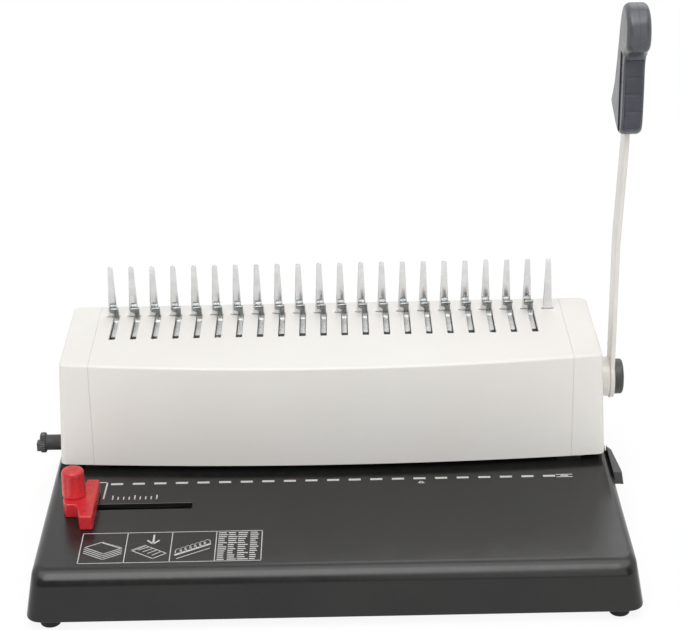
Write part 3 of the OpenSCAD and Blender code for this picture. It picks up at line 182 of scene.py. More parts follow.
# colours out of 255; patches, grain and its depth in millimetres
steel = dict(metal=1.0, grain=0.3, depth=0.012, bump=0.4)
finishes = {
    # charcoal's marked colour is a painted highlight along the base's rounded top edge, together with wear
    "charcoal": dict(dark=(29, 29, 29), light=(34, 34, 33), speck=(46, 46, 45), wearAndPaintedLight=(58, 57, 55), patch=60,
                     grain=0.55, rough=(0.18, 0.25), depth=0.04, bump=0.2, shine=0.38),
    "tray_black": dict(dark=(64, 64, 64), light=(72, 72, 72), speck=(80, 80, 80), patch=40, grain=0.5,
                       rough=(0.4, 0.52), depth=0.05, bump=0.35),
    "knob_black": dict(dark=(62, 62, 62), light=(71, 71, 71), speck=(72, 72, 74), patch=14, grain=0.4,
                       rough=(0.38, 0.5), depth=0.04, bump=0.3),
    "rubber": dict(dark=(30, 30, 30), light=(40, 40, 39), patch=8, grain=0.35, rough=(0.7, 0.85),
                   depth=0.06, bump=0.5, shine=0.3),
    "off_white": dict(dark=(237, 234, 229), light=(241, 239, 234), speck=(229, 226, 220), patch=120,
                      grain=0.5, rough=(0.42, 0.5), depth=0.03, bump=0.25),
    "zinc_steel": dict(steel, dark=(178, 181, 186), light=(204, 206, 208), patch=5, grain=0.6,
                       rough=(0.26, 0.4), depth=0.015),
    "tool_steel": dict(steel, dark=(150, 152, 156), light=(186, 188, 191), patch=3, grain=0.35,
                       rough=(0.24, 0.38), depth=0.015, stretch=(1, 14, 14)),
    "dark_steel": dict(steel, dark=(88, 89, 91), light=(116, 117, 119), patch=3, rough=(0.22, 0.36)),
    "hookSteel": dict(steel, dark=(128, 130, 128), light=(158, 160, 158), patch=3, rough=(0.2, 0.34)),
    # the strips are the hooks' own steel painted much lighter: painted light for the reflection that
    # brightens them in the slots; their marked colour is painted shade at the front ends
    "stripSteelPaintedLight": dict(steel, dark=(200, 202, 200), light=(222, 223, 221), wearAndPaintedLight=(52, 52, 52), patch=3,
                       metal=0.6, rough=(0.44, 0.54)),
    "screw_steel": dict(steel, dark=(184, 185, 188), light=(212, 213, 214), patch=2, rough=(0.2, 0.32),
                        depth=0.01),
    "chrome": dict(steel, dark=(218, 220, 223), light=(232, 233, 235), patch=6, grain=0.6,
                   rough=(0.15, 0.21), depth=0.004, bump=0.3),
    "bronze": dict(steel, dark=(168, 132, 78), light=(200, 164, 104), patch=3, rough=(0.26, 0.4)),
    "arm_paint": dict(dark=(222, 219, 212), light=(229, 226, 220), patch=30, grain=1.1, rough=(0.3, 0.38),
                      depth=0.03, bump=0.3, coat=0.2),
    "grip_grey": dict(dark=(72, 74, 79), light=(80, 82, 87), speck=(90, 92, 97), speckShare=0.25, patch=22,
                      grain=0.4, rough=(0.26, 0.34), depth=0.03, bump=0.2),
    "grip_rubber": dict(dark=(64, 67, 74), light=(73, 76, 84), patch=12, grain=0.35, rough=(0.55, 0.7),
                        depth=0.05, bump=0.5, shine=0.35),
    "red": dict(dark=(196, 40, 46), light=(212, 50, 56), speck=(222, 64, 68), speckShare=0.25, patch=14,
                grain=0.5, rough=(0.24, 0.34), depth=0.02, bump=0.2, shine=0.45),
    "cam_plastic": dict(dark=(214, 212, 204), light=(224, 222, 214), patch=8, grain=0.4, rough=(0.4, 0.5),
                        depth=0.03, bump=0.3),
}
paint = {name: finishOf(name + "Finish", f) for name, f in finishes.items()}
inkFinish = dict(full=(214, 214, 212), thin=(160, 160, 158), grain=0.5, detail=3, thinFrom=(0.45, 0.75),
                 rough=(0.45, 0.6))


def inkMaterial(f):
    # thin screen print: nearly white, slightly broken where the ink lies on the grain
    mat, tree, shader, place = startMaterial("printInk")
    fine = noiseOf(tree, place, f["grain"], f["detail"])
    tone = blendColours(tree, spread(tree, fine, 0, 1, *f["thinFrom"]), srgb(f["full"]), srgb(f["thin"]))
    feed(tree, shader, {"Base Color": tone, "Roughness": spread(tree, fine, *f["rough"])})
    return mat


ink = inkMaterial(inkFinish)
slotOf = {s["node"]: s["material_slot"] for s in frame["record"]["subparts"]}
for node, part in nodes.items():
    for holder in part.material_slots:
        holder.material = paint[slotOf[node]]
print("materials:", len(paint) + 1)


# mesh helpers
def quarter(steps):
    # along a quarter circle of radius 1: how far it has turned in, and how far it still has to rise
    angle = np.linspace(0, math.pi / 2, steps)
    return 1 - np.cos(angle), 1 - np.sin(angle)


def xyz(x, y, z):
    # coordinates of matching shapes as one array of points
    return np.stack(np.broadcast_arrays(x, y, z), -1)


def gridQuads(rows, cols):
    # four corners of each cell between neighbouring rows; the last column joins the first
    r = np.arange(rows - 1)[:, None] * cols
    c = np.arange(cols)
    n = (c + 1) % cols
    return np.stack([r + c, r + n, r + cols + n, r + cols + c], -1).reshape(-1, 4)


def smoothMesh(mesh, sharp=32.0):
    mesh.shade_smooth()
    mesh.set_sharp_from_angle(angle=math.radians(sharp))


def mend(mesh, sharp, join=False):
    # turns all faces outward; points that lie on each other can become one
    work = bmesh.new()
    work.from_mesh(mesh)
    if join:
        bmesh.ops.remove_doubles(work, verts=work.verts, dist=1e-7)
    bmesh.ops.recalc_face_normals(work, faces=work.faces)
    work.to_mesh(mesh)
    work.free()
    smoothMesh(mesh, sharp)


def putMesh(name, points, faces, sharp, wearAndPaintedLight):
    mesh = bpy.data.meshes.new(name)
    mesh.from_pydata((points.reshape(-1, 3) * mm).tolist(), [], faces)
    mesh.validate()
    # a point attribute that marks where a finish puts its painted light and wear
    if wearAndPaintedLight is not None:
        share = mesh.attributes.new("wearAndPaintedLight", "FLOAT", "POINT")
        share.data.foreach_set("value", np.asarray(wearAndPaintedLight, np.float32).ravel())
    mend(mesh, sharp)
    piece = bpy.data.objects.new(name, mesh)
    scene.collection.objects.link(piece)
    return piece


def loft(name, rings, caps=(True, True), sharp=32.0, wearAndPaintedLight=None):
    # closed rings in rows, skinned row to row; rings may hold many like shapes: shape, row, column, xyz
    rings = np.asarray(rings, float)
    if rings.ndim == 3:
        rings = rings[None]
    many, rows, cols = rings.shape[:3]
    starts = np.arange(many)[:, None] * rows * cols
    faces = (gridQuads(rows, cols) + starts[:, None]).reshape(-1, 4).tolist()
    if caps[0]:
        faces += (starts + np.arange(cols)[::-1]).tolist()
    if caps[1]:
        faces += (starts + (rows - 1) * cols + np.arange(cols)).tolist()
    return putMesh(name, rings, faces, sharp, wearAndPaintedLight)


def roundRect(wide, deep, radius, steps=6):
    # four quarter circles joined by straight runs, anticlockwise from the right
    angle = (np.linspace(0, math.pi / 2, steps) + np.arange(4)[:, None] * math.pi / 2).ravel()
    x = np.repeat([1, -1, -1, 1], steps) * (wide / 2 - radius) + radius * np.cos(angle)
    y = np.repeat([1, 1, -1, -1], steps) * (deep / 2 - radius) + radius * np.sin(angle)
    return np.c_[x, y]


def squarish(steps, power, shift=0.0):
    # a circle pressed towards a square; the smaller the power, the tighter the corners
    angle = (np.arange(steps) + shift) * tau / steps
    a, b = np.cos(angle), np.sin(angle)
    return np.sign(a) * np.abs(a) ** power, np.sign(b) * np.abs(b) ** power


def prisms(outline, places, low, high):
    # cutters: one flat outline stood upright at many places
    flat = np.array(places)[:, None] + outline
    return loft("cutter", xyz(flat[:, None, :, 0], flat[:, None, :, 1], np.array([low, high])[:, None]))


def boxes(lows, highs):
    # cutters: upright boxes from their low to their high corners
    lows, highs = (np.asarray(v, float).reshape(-1, 1, 1, 3) for v in (lows, highs))
    corner = [[(i, j, k) for i, j in ((0, 0), (1, 0), (1, 1), (0, 1))] for k in (0, 1)]
    return loft("cutter", np.where(np.array(corner) == 1, highs, lows))


def turned(name, profile, centre, axis, steps, ripple=None, caps=(True, True), sharp=32.0):
    # a profile of radius and height turned about an axis; a ripple is added to its radius
    profile = np.array(profile)
    angle = np.arange(steps) * tau / steps
    r, h = (np.repeat(profile[:, k:k + 1], steps, 1) for k in (0, 1))
    if ripple:
        r = r + ripple(angle, r, h)
    a, b = r * np.cos(angle), r * np.sin(angle)
    rings = xyz(a, b, h) if axis == "z" else xyz(h, a, b)
    return loft(name, rings + np.atleast_2d(centre)[:, None, None], caps, sharp)


def wallRod(side, radius, near, away, centres, steps=32):
    # round cutters along X at one side, between two distances from the machine's middle
    return turned("cutter", [(radius, x) for x in sorted((side * near, side * away))], centres, "x", steps)


def carve(piece, cutter, how="DIFFERENCE"):
    # keeps the result of one cut as the piece's own mesh
    step = piece.modifiers.new("carve", "BOOLEAN")
    step.operation, step.solver, step.object = how, "EXACT", cutter
    seen = piece.evaluated_get(bpy.context.evaluated_depsgraph_get())
    old, piece.data = piece.data, bpy.data.meshes.new_from_object(seen)
    piece.modifiers.clear()
    piece.data.name = piece.name
    bpy.data.meshes.remove(old)
    spent = cutter.data
    bpy.data.objects.remove(cutter)
    bpy.data.meshes.remove(spent)


def softEdges(piece, width, angle=40.0):
    # small rounded edges, then flat faces keep their own normals
    b = piece.modifiers.new("softEdges", "BEVEL")
    b.width, b.segments, b.limit_method = width * mm, 2, "ANGLE"
    b.angle_limit = math.radians(angle)
    b.use_clamp_overlap = False
    n = piece.modifiers.new("flatFaces", "WEIGHTED_NORMAL")
    n.keep_sharp = True


def settle(piece, body, slot, *stoodFor, mat=None):
    # paints a finished piece, ties it to its body and hides the solids that it stands for
    piece.data.materials.clear()
    piece.data.materials.append(mat or paint[slot])
    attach(piece, body)
    if stoodFor:
        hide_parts(*stoodFor)
    return piece


# base
baseShape = dict(wide=380.95, deep=238.0, rim=7.0, top=37.6, under=34.6, wall=3.0, corner=13.0,
                 cornerSteps=15, edge=5.0, frontEdge=8.8, flat=0.8, lip=0.9, lipFlat=0.6, skirt=2.0,
                 ceilingIn=0.4, sideDraft=5.0, frontDraft=6.5, rearDraft=1.0,
                 well=((-168.275, 25.83), (168.275, 56.43)), ear=((148.675, 55.4), (168.275, 68.33)),
                 wellLow=31.6, slot=(-132.7375, -31.0, 82.525, 7.4), slotCorner=1.2,
                 gate=((171.975, 1.63), (200.0, 48.23)), gateTop=31.9, wearAndPaintedLight=0.25, soft=0.35)


def edgeCut(z, r):
    # inset of the skin at a height, for a rounded top edge of radius r
    over = np.clip(z - baseShape["top"] + r, 0, r)
    return r - np.sqrt(r ** 2 - over ** 2)


def softCorner(steps, fine=20):
    # a quarter turn from (1, 0) to (0, 1) whose bend grows and fades, so that sides run into it softly
    u = np.linspace(0, 1, fine * (steps - 1) + 1)
    turn = math.pi / 2 * u ** 2 * (3 - 2 * u)
    mid = (turn[1:] + turn[:-1]) / 2
    run = np.cumsum(np.c_[np.sin(mid), np.cos(mid)], 0)
    run = np.concatenate([[(0, 0)], run / run[-1]])[::fine]
    return np.c_[1 - run[:, 0], run[:, 1]]


def baseRings(z, cut, frontCut):
    # rounded rectangle that leans in with height and shrinks by one cut at the front, another elsewhere
    s = baseShape
    z, cut, frontCut = (v[:, None] for v in (z, cut, frontCut))
    t = (z - s["rim"]) / (s["top"] - s["rim"])
    half = s["wide"] / 2 - s["sideDraft"] * t - cut
    front = -s["deep"] / 2 + s["frontDraft"] * t + frontCut
    rear = s["deep"] / 2 - s["rearDraft"] * t - cut
    r, steps = s["corner"] - cut, s["cornerSteps"]
    a, b = softCorner(steps).T
    behind = np.repeat([True, True, False, False], steps)
    x = np.repeat([1, -1, -1, 1], steps) * (half - r) + r * np.concatenate([a, -b, -a, b])
    y = np.where(behind, rear - r, front + r) + r * np.concatenate([b, a, -b, -a])
    return xyz(x, y, z)


def makeBase():
    # inner ceiling, ledge behind the front edge, inner wall, lip, leaning side, rounded edge, flat top
    s = baseShape
    wall, rim, top, edge, frontEdge, lip, flat = pick(s, "wall rim top edge frontEdge lip flat")
    ledge, ceiling = top - frontEdge, wall + s["ceilingIn"]
    fillet = top - frontEdge * quarter(17)[1]
    goneIn, toRise = quarter(5)
    z = np.r_[s["under"], ledge, ledge, rim, rim, rim + lip * goneIn, rim + s["skirt"], ledge - flat,
              fillet, top]
    skin = np.r_[wall, lip + s["lipFlat"], lip * toRise, 0, 0]
    cut = np.r_[ceiling, ceiling, wall, skin, edgeCut(fillet, edge), edge + flat]
    frontCut = np.r_[frontEdge, frontEdge, wall, skin, edgeCut(fillet, frontEdge), frontEdge + flat]
    wearAndPaintedLight = np.zeros((len(z), 4 * s["cornerSteps"]))
    # the rounded top edge is marked lighter all round: a painted highlight, and wear
    wearAndPaintedLight[-1 - len(fillet):-1] = s["wearAndPaintedLight"] * np.sin(np.linspace(0, math.pi, len(fillet)))[:, None]
    piece = loft("baseHousing", baseRings(z, cut, frontCut), wearAndPaintedLight=wearAndPaintedLight)
    low, above = s["wellLow"], top + past
    (x0, y0), (x1, y1) = s["well"]
    carve(piece, boxes((x0, y0, low), (x1, y1, above)))
    (x0, y0), (x1, y1) = s["ear"]
    carve(piece, boxes([(x0, y0, low), (-x1, y0, low)], [(x1, y1, above), (-x0, y1, above)]))
    cx, cy, long, wide = s["slot"]
    outline = roundRect(long, wide, s["slotCorner"])
    carve(piece, prisms(outline, [(cx, cy)], s["under"] - past, above))
    (x0, y0), (x1, y1) = s["gate"]
    carve(piece, boxes((x0, y0, 0), (x1, y1, s["gateTop"])))
    smoothMesh(piece.data)
    softEdges(piece, s["soft"])
    settle(piece, "base", "charcoal", "base_shell")


makeBase()
print("base made")

# white housing, with the rows of tines and hooks that it has slots for
coverShape = dict(low=42.2, sideLow=37.9, top=114.9, under=112.4, rear=115.6, wideLow=364.55,
                  wideTop=357.55, endLow=19.432, midLow=11.332, endTop=22.232, midTop=8.932, edge=1.6,
                  flat=0.7, corner=4.5, wall=2.5, lip=0.6, skirt=1.4, seam=159.475, seamGap=0.04,
                  mouthRear=28.532, rearCut=(108.0, 110.4), boss=(5.0, 166.975, 179.1),
                  seat=(3.65, 172.975, 200.0), pivotHole=6.5, depthHole=4.5, soft=0.2)
tineRow = dict(count=22, pitch=14.2875, wide=6.35, tipWide=3.6, thick=1.5, y=98.25, low=100.2, inside=108.0,
               straight=115.9, tip=151.9, roll=0.24, rollTall=2.0, square=0.3, slot=(9.0, 2.7),
               slotCorner=0.6)
hookRow = dict(offset=2.5, wide=3.4, headWide=6.4, thick=1.5, bend=1.65, back=97.2, low=104.7, top=122.9,
               nose=3.2, headTall=4.0, shoulder=1.2, slotWide=4.3, slotFront=59.78, slotRear=97.5,
               slotCorner=0.7, stripTop=111.4, stripFront=62.98, stripWide=3.9, sweep=3.0, drop=9.0,
               black=2.5)
tineX = (np.arange(tineRow["count"]) - (tineRow["count"] - 1) / 2) * tineRow["pitch"]
hookX = tineX[:-1] + hookRow["offset"]
capBosses = [(45.932, 88.0), (100.0, 62.0)]
pivot = (0, 63.9322, 78.2001)  # on the axis of the lever
depthAxis = (0, 48.9322, 43.6)  # on the axis of the knob at the left


def coverRings(z, cut):
    # outline with a bowed front (a parabola), straight sides and back, and rounded corners
    s = coverShape
    z, cut = z[:, None], cut[:, None]
    t = (z - s["low"]) / (s["top"] - s["low"])
    at = lambda name: s[name + "Low"] + (s[name + "Top"] - s[name + "Low"]) * t
    half, mid, end = at("wide") / 2 - cut, at("mid") + cut, at("end") + cut
    rear = s["rear"] - cut
    r = s["corner"]
    tilt = np.arctan2(2 * (end - mid), half)  # heading of the bow where it meets the side
    u = np.linspace(-1, 1, 61) * (half - r + r * np.sin(tilt)) / half
    cy = end + r * (1 - np.sin(tilt)) / np.cos(tilt)
    step = np.linspace(0, 1, 9)
    right = tilt + (math.pi / 2 - tilt) * step
    left = 1.5 * math.pi + (math.pi / 2 - tilt) * step
    back = np.broadcast_to(math.pi / 2 + math.pi / 2 * step, right.shape)
    x = np.concatenate([u * half, half - r + r * np.sin(right[:, 1:]), half - r + r * np.sin(back),
                        -half + r + r * np.cos(back), -half + r + r * np.sin(left[:, :-1])], 1)
    y = np.concatenate([mid + (end - mid) * u ** 2, cy - r * np.cos(right[:, 1:]),
                        rear - r - r * np.cos(back), rear - r + r * np.sin(back),
                        cy - r * np.cos(left[:, :-1])], 1)
    return xyz(x, y, z)


def coverSkin(name):
    # inner ceiling, inner wall, lower lip, leaning side, rounded top edge, flat top
    s = coverShape
    low, top, edge, wall, lip, flat = pick(s, "sideLow top edge wall lip flat")
    goneIn, toRise = quarter(9)
    z = np.r_[s["under"], low, low, low + lip, low + s["skirt"], top - edge - flat, top - edge * toRise, top]
    cut = np.r_[wall, wall, lip, 0, 0, 0, edge * goneIn, edge + flat]
    return loft(name, coverRings(z, cut))


def makeCover():
    # one skin cut at the seams into a middle, with the slots and the gap at the rear, and two ends
    s, h = coverShape, hookRow
    mouth = ((-far, -far, 0), (far, s["mouthRear"], s["low"]))
    inner, outer = s["seam"] - s["seamGap"], s["seam"] + s["seamGap"]
    piece = coverSkin("housingMiddle")
    carve(piece, boxes(*mouth))
    carve(piece, boxes((-inner, -far, 0), (inner, far, far)), "INTERSECT")
    rearY, rearTop = s["rearCut"]
    carve(piece, boxes((-far, rearY, 0), (far, far, rearTop)))
    tineSlot = roundRect(*tineRow["slot"], tineRow["slotCorner"], 4)
    hookSlot = roundRect(h["slotWide"], h["slotRear"] - h["slotFront"], h["slotCorner"], 4)
    hookY = (h["slotFront"] + h["slotRear"]) / 2
    for outline, across, y in ((tineSlot, tineX, tineRow["y"]), (hookSlot, hookX, hookY)):
        places = [(x, y) for x in across]
        carve(piece, prisms(outline, places, s["under"] - past, s["top"] + past))
    smoothMesh(piece.data)
    softEdges(piece, s["soft"])
    settle(piece, "base", "off_white", "top_cover")
    bosses = [(0, y, z) for y, z in capBosses]
    for side, name, node, hole, axis in ((-1, "housingEndLeft", "left_cap", s["depthHole"], depthAxis),
                                         (1, "housingEndRight", "right_cap", s["pivotHole"], pivot)):
        cap = coverSkin(name)
        carve(cap, boxes(*mouth))
        near, away = sorted((side * outer, side * far))
        carve(cap, boxes((near, -far, 0), (away, far, far)), "INTERSECT")
        carve(cap, wallRod(side, *s["boss"], bosses), "UNION")
        carve(cap, wallRod(side, *s["seat"], bosses))
        carve(cap, wallRod(side, hole, *s["seat"][1:], axis, 40))
        smoothMesh(cap.data)
        softEdges(cap, s["soft"])
        settle(cap, "base", "off_white", node)


makeCover()
print("housing made")


def makeTines():
    # flat blade: squarish section, straight foot, even taper, round tip whose front rolls back a little
    s = tineRow
    tip, straight, rollTall = pick(s, "tip straight rollTall")
    tipR = s["tipWide"] / 2
    rise = np.r_[s["low"], s["inside"], np.linspace(straight - 2, tip - 4, 10),
                 tip - tipR * (1 - np.sin(np.linspace(-0.9, 1.5, 14)))]
    half = np.interp(rise, [straight, tip - tipR], [s["wide"] / 2, tipR])
    over = np.clip(rise - (tip - tipR), 0, tipR)
    half = np.where(over > 0, np.sqrt(np.maximum(tipR ** 2 - over ** 2, 0.01)), half)
    across, depth = squarish(28, s["square"], 0.5)
    roll = s["roll"] * np.clip((rise - tip + rollTall) / rollTall, 0, 1) ** 2
    depth = np.where(depth < 0, depth * (1 - roll[:, None]), depth)
    x = tineX[:, None, None] + half[:, None] * across
    rings = xyz(x, s["y"] + s["thick"] / 2 * depth, rise[:, None])
    settle(loft("combTines", rings, sharp=70), "base", "chrome", "comb_tines")


def stripRings(y, z, left, right, half):
    # flat strip along a path in the YZ plane: a squarish section carried square to the path
    across, depth = squarish(16, 0.35)
    values = (y, z, left, right, half, np.gradient(y), np.gradient(z))
    y, z, left, right, half, dy, dz = (v[:, None] for v in values)
    x = (left + right + (right - left) * across) / 2
    off = half * depth / np.hypot(dy, dz)
    return xyz(x, y - dz * off, z + dy * off)


def hookFinger():
    # a straight stem, a quarter turn and a short nose with a thinner end, the head wider to the left
    s = hookRow
    thick, bend, shoulder, wide = pick(s, "thick bend shoulder wide")
    goneIn, toRise = quarter(7)
    mid, crown, neck = s["back"] - thick / 2, s["top"] - thick / 2, s["top"] - s["headTall"]
    nose = (s["nose"] + thick / 2 - bend) * np.array([0.4, 0.8, 1])
    stem = np.r_[np.linspace(s["low"], neck - shoulder, 9), neck - shoulder / 2, neck]
    y = np.r_[np.full(len(stem), mid), mid - bend * goneIn, mid - bend - nose]
    z = np.r_[stem, crown - bend * toRise, np.full(len(nose), crown)]
    wider = np.interp(z, [neck - shoulder, neck], [0, s["headWide"] - wide])
    thin = np.append(np.ones(len(y) - 1), 0.6) * thick / 2
    return stripRings(y, z, -wide / 2 - wider, np.full(len(y), wide / 2), thin)


def hookStrip():
    # bent forward out of the stem, level under the slot, and curving down at its front end, which is painted
    # black as painted shade for the gap at the slot's front
    s = hookRow
    thick, sweep, drop = pick(s, "thick sweep drop")
    goneIn, toRise = quarter(7)
    mid, level = s["back"] - thick / 2, s["stripTop"] - thick / 2
    dive = np.linspace(0, math.acos(1 - (level - s["low"]) / drop), 9)
    start = s["stripFront"] + thick / 2 + drop * math.sin(dive[-1])
    flat = np.linspace(mid - sweep, start, 6)[1:-1]
    y = np.r_[mid, mid - sweep * goneIn, flat, start - drop * np.sin(dive)]
    z = np.r_[level + sweep + 1, level + sweep * toRise, np.full(len(flat), level),
              level - drop * (1 - np.cos(dive))]
    side = np.full(len(y), s["stripWide"] / 2)
    # the front end is painted black: painted shade for the gap at the slot's front end
    black = s["black"] * (np.arange(len(y)) > len(y) - len(dive))
    return stripRings(y, z, -side, side, np.full(len(y), thick / 2)), black


def makeHooks():
    along = xyz(hookX, 0, 0)[:, None, None]
    fingers = loft("combHooks", hookFinger() + along, sharp=50)
    settle(fingers, "sled", "dark_steel", "comb_hooks", mat=paint["hookSteel"])
    strip, black = hookStrip()
    # painted shade on the strips' front ends
    wearAndPaintedLight = np.broadcast_to(black[:, None], (len(hookX), *strip.shape[:2]))
    strips = loft("hookStrips", strip + along, sharp=50, wearAndPaintedLight=wearAndPaintedLight)
    # the strips take the lighter copy of the steel: painted light
    settle(strips, "sled", "dark_steel", mat=paint["stripSteelPaintedLight"])


makeTines()
makeHooks()
print("tines and hooks made")

# lever
armShape = dict(inner=188.992, thick=3.0, wide=20.0, edge=0.7, endRadius=14.5, lowTurn=178.2,
                highTurn=249.2, soft=7.0, lean=3.0, top=304.0, tang=281.0, tangBack=-0.5)
gripShape = dict(x=193.492, low=257.0, wide=15.2, round=4.0, leastRound=0.8, seam=0.01, step=(-15.0, 0.9),
                 gap=(0.9, 0.5), stepTop=56.0, soft=0.08, outline=[(-26, 14.8), (-26.2, 32.8),
                 (-25.6, 47.8), (-29.5, 56.3), (-38, 61.8), (-41, 69.5), (-38.8, 79.2), (-31.5, 86),
                 (-22, 88), (-14, 85.6), (-8.5, 78.3), (-4, 66.8), (-0.5, 54.8), (3.5, 42.8), (9, 29.5),
                 (15.3, 18), (17.2, 13.8), (14, 10), (3, 4.6), (-9, 0.9), (-17, 1), (-23.5, 5.8)],
                 screws=(277.5, 294.0), screwY=-5.5, screwSeat=(3.45, 5.0))
inlayShape = dict(wide=10.5, front=36.93, back=40.73, low=264.8, high=309.8, edge=0.8, fit=0.1, groove=0.7,
                  grooveWide=0.9, count=3)
capShape = dict(inner=191.992, radius=12.0, thick=7.0, bore=7.4, rim=2.0)


def makeArm():
    # flat bar of rounded section: a round foot, an even width, and one sideways set halfway up
    s = armShape
    r, thick, soft, lowTurn, highTurn, tang = pick(s, "endRadius thick soft lowTurn highTurn tang")
    half = s["wide"] / 2
    foot = pivot[2] - r * np.cos(np.linspace(0.06, math.pi - math.asin(half / r), 22))
    bend = np.linspace(-6, 6, 7)
    rise = np.r_[foot, pivot[2] + 30, lowTurn - 9, lowTurn + bend, highTurn + bend, tang - 0.3, tang,
                 s["top"] - 0.6, s["top"]]
    reach = np.full(len(rise), half)
    reach[:len(foot)] = np.maximum(np.sqrt(np.maximum(r ** 2 - (foot - pivot[2]) ** 2, 0)), 0.3)
    # the bends are eased over the height of soft
    ease = lambda v: np.where(np.abs(v) < soft, (v + soft) ** 2 / (4 * soft), np.maximum(v, 0))
    shift = s["lean"] / (highTurn - lowTurn) * (ease(rise - lowTurn) - ease(rise - highTurn))
    section = roundRect(thick, 2.0, s["edge"], 5)
    x = s["inner"] + thick / 2 + shift[:, None] + section[:, 0]
    flat = np.sign(section[:, 1]) * (np.abs(section[:, 1]) - 1.0)
    back = np.where(rise < tang, reach, s["tangBack"])  # the tang in the grip is cut away behind
    edge = np.where(section[:, 1] > 0, back[:, None], -reach[:, None])
    y = pivot[1] + edge + flat * np.minimum(reach, 1.0)[:, None]
    settle(loft("leverArm", xyz(x, y, rise[:, None]), sharp=50), "lever", "arm_paint", "lever_arm")


def smoothLoop(points, steps):
    # closed curve through the points, each run a cubic set by its four nearest points
    p = np.asarray(points, float)
    a, b, c, d = (np.roll(p, k, 0)[:, None] for k in (1, 0, -1, -2))
    t = (np.arange(steps) / steps)[:, None]
    square, cube = 2 * a - 5 * b + 4 * c - d, 3 * b - a - 3 * c + d
    return (0.5 * (2 * b + (c - a) * t + square * t ** 2 + cube * t ** 3)).reshape(-1, 2)


def inward(outline):
    # unit normals that point into a clockwise outline
    along = np.roll(outline, -1, 0) - np.roll(outline, 1, 0)
    return np.c_[along[:, 1], -along[:, 0]] / np.linalg.norm(along, axis=1, keepdims=True)


def gripRounding(outline):
    # radius of the rounded edge at each point; it gives way where the outline bends more tightly
    a, b = outline - np.roll(outline, 1, 0), np.roll(outline, -1, 0) - outline
    turn = np.arctan2(a[:, 0] * b[:, 1] - a[:, 1] * b[:, 0], (a * b).sum(1))
    bend = np.sign(turn.sum()) * turn / np.linalg.norm(a, axis=1)
    radius = np.clip(0.6 / np.maximum(bend, 0.01), gripShape["leastRound"], gripShape["round"])
    near = range(-6, 7)
    radius = np.min([np.roll(radius, k) for k in near], 0)
    return np.mean([np.roll(radius, k) for k in near], 0)


def makeGrip():
    # two shells that meet at a fine seam, with a seat for the pad; a cheek ends in a step and a narrow gap
    s, i = gripShape, inlayShape
    mid, low, seam, half, y = s["x"], s["low"], s["seam"], s["wide"] / 2, pivot[1]
    outline = smoothLoop(s["outline"], 8)
    tight = gripRounding(outline)[None]
    level = np.ones_like(tight)
    goneIn, toRise = (v[:, None] for v in quarter(10))
    across = np.concatenate([seam * level, (seam + 0.1) * level, half - tight * toRise, half * level])
    cut = np.concatenate([0 * level, 0 * level, tight * goneIn, tight * 1.15])
    flat = outline + inward(outline) * cut[..., None]
    fit, wide = i["fit"], (i["wide"] + i["fit"]) / 2
    seat = ((mid - wide, 0, i["low"] - fit), (mid + wide, i["back"] + fit, i["high"] + fit))
    (stepY, stepIn), (gapDeep, gapWide), (radius, deep) = pick(s, "step gap screwSeat")
    front = half - stepIn
    cuts = ((-60, stepY, front, 20), (stepY - 0.2, stepY + gapDeep, front, front + gapWide))
    for side, name, node in ((-1, "gripLeft", "grip_left"), (1, "gripRight", "grip_right")):
        piece = loft(name, xyz(mid + side * across, y + flat[..., 0], low + flat[..., 1]))
        carve(piece, boxes(*seat))
        if side > 0:
            centres = [(0, y + s["screwY"], z) for z in s["screws"]]
            carve(piece, wallRod(side, radius, mid + deep, mid + 20, centres))
        for y0, y1, near, away in cuts:
            x0, x1 = sorted((mid + side * near, mid + side * away))
            carve(piece, boxes((x0, y + y0, low - past), (x1, y + y1, low + s["stepTop"])))
        smoothMesh(piece.data)
        softEdges(piece, s["soft"], 50)
        settle(piece, "lever", "grip_grey", node)


def makeInlay():
    # soft pad: rounded rectangle section, its front dipping in even finger grooves
    s = inlayShape
    low, high, edge, front, back = pick(s, "low high edge front back")
    goneIn, toRise = quarter(4)
    middle = np.linspace(low + 2 * edge, high - 2 * edge, 120)
    rise = np.r_[low + edge * goneIn, middle, high - edge * toRise]
    ends = np.minimum(rise - low, high - rise)
    centres = np.linspace(low, high, s["count"] + 2)[1:-1]
    dip = s["groove"] * np.exp(-((rise[:, None] - centres) / s["grooveWide"]) ** 2).sum(1)
    dip = dip + 0.5 * np.exp(-ends / 0.7)
    section = roundRect(s["wide"], 2.0, 0.9, 7)
    shrink = np.clip(ends / edge, 0, 1) ** 0.5 * 0.08 + 0.92
    x = gripShape["x"] + section[:, 0] * shrink[:, None]
    near = (1 - section[:, 1]) / 2  # 1 at the front of the pad, 0 at its back
    y = back - near * (back - front - dip[:, None])
    settle(loft("gripInlay", xyz(x, y, rise[:, None]), sharp=60), "lever", "grip_rubber", "grip_inlay")


def makePivotCap():
    # shallow dome with a rolled rim and a fine ring
    s = capShape
    x, r, deep = pick(s, "inner radius thick")
    goneIn, toRise = quarter(9)
    rim = np.c_[r - s["rim"] * goneIn, x + deep * 0.91 - deep * 0.25 * toRise]
    edge = rim[-1, 0] - 0.3
    dome = np.linspace(edge, 0.4, 14)
    ring = 0.25 * np.exp(-((dome - 0.84 * edge) / 0.35) ** 2)
    top = np.c_[dome, x + deep - 0.05 - deep * 0.07 * (dome / edge) ** 2 - ring]
    profile = np.concatenate([[(s["bore"], x), (r - 0.4, x), (r, x + 0.4)], rim, top])
    piece = turned("pivotDome", profile, pivot, "x", 64)
    settle(piece, "lever", "knob_black", "pivot_cap")


makeArm()
makeGrip()
makeInlay()
makePivotCap()
print("lever made")

# edge guide
guideShape = dict(x=-166.975, y=-31.0, low=37.9, tall=9.4, fenceRight=-152.675, fenceThick=8.2, round=1.0,
                  tongue=(15.5, 6.8, 0.8), tongueX=1.25, tongueLow=34.3, knobLow=47.6, knobTall=18.9,
                  knobRadius=7.7, knobTop=7.1, knobDome=2.6, knobShoulder=3.2, flutes=9, fluteDeep=0.4)


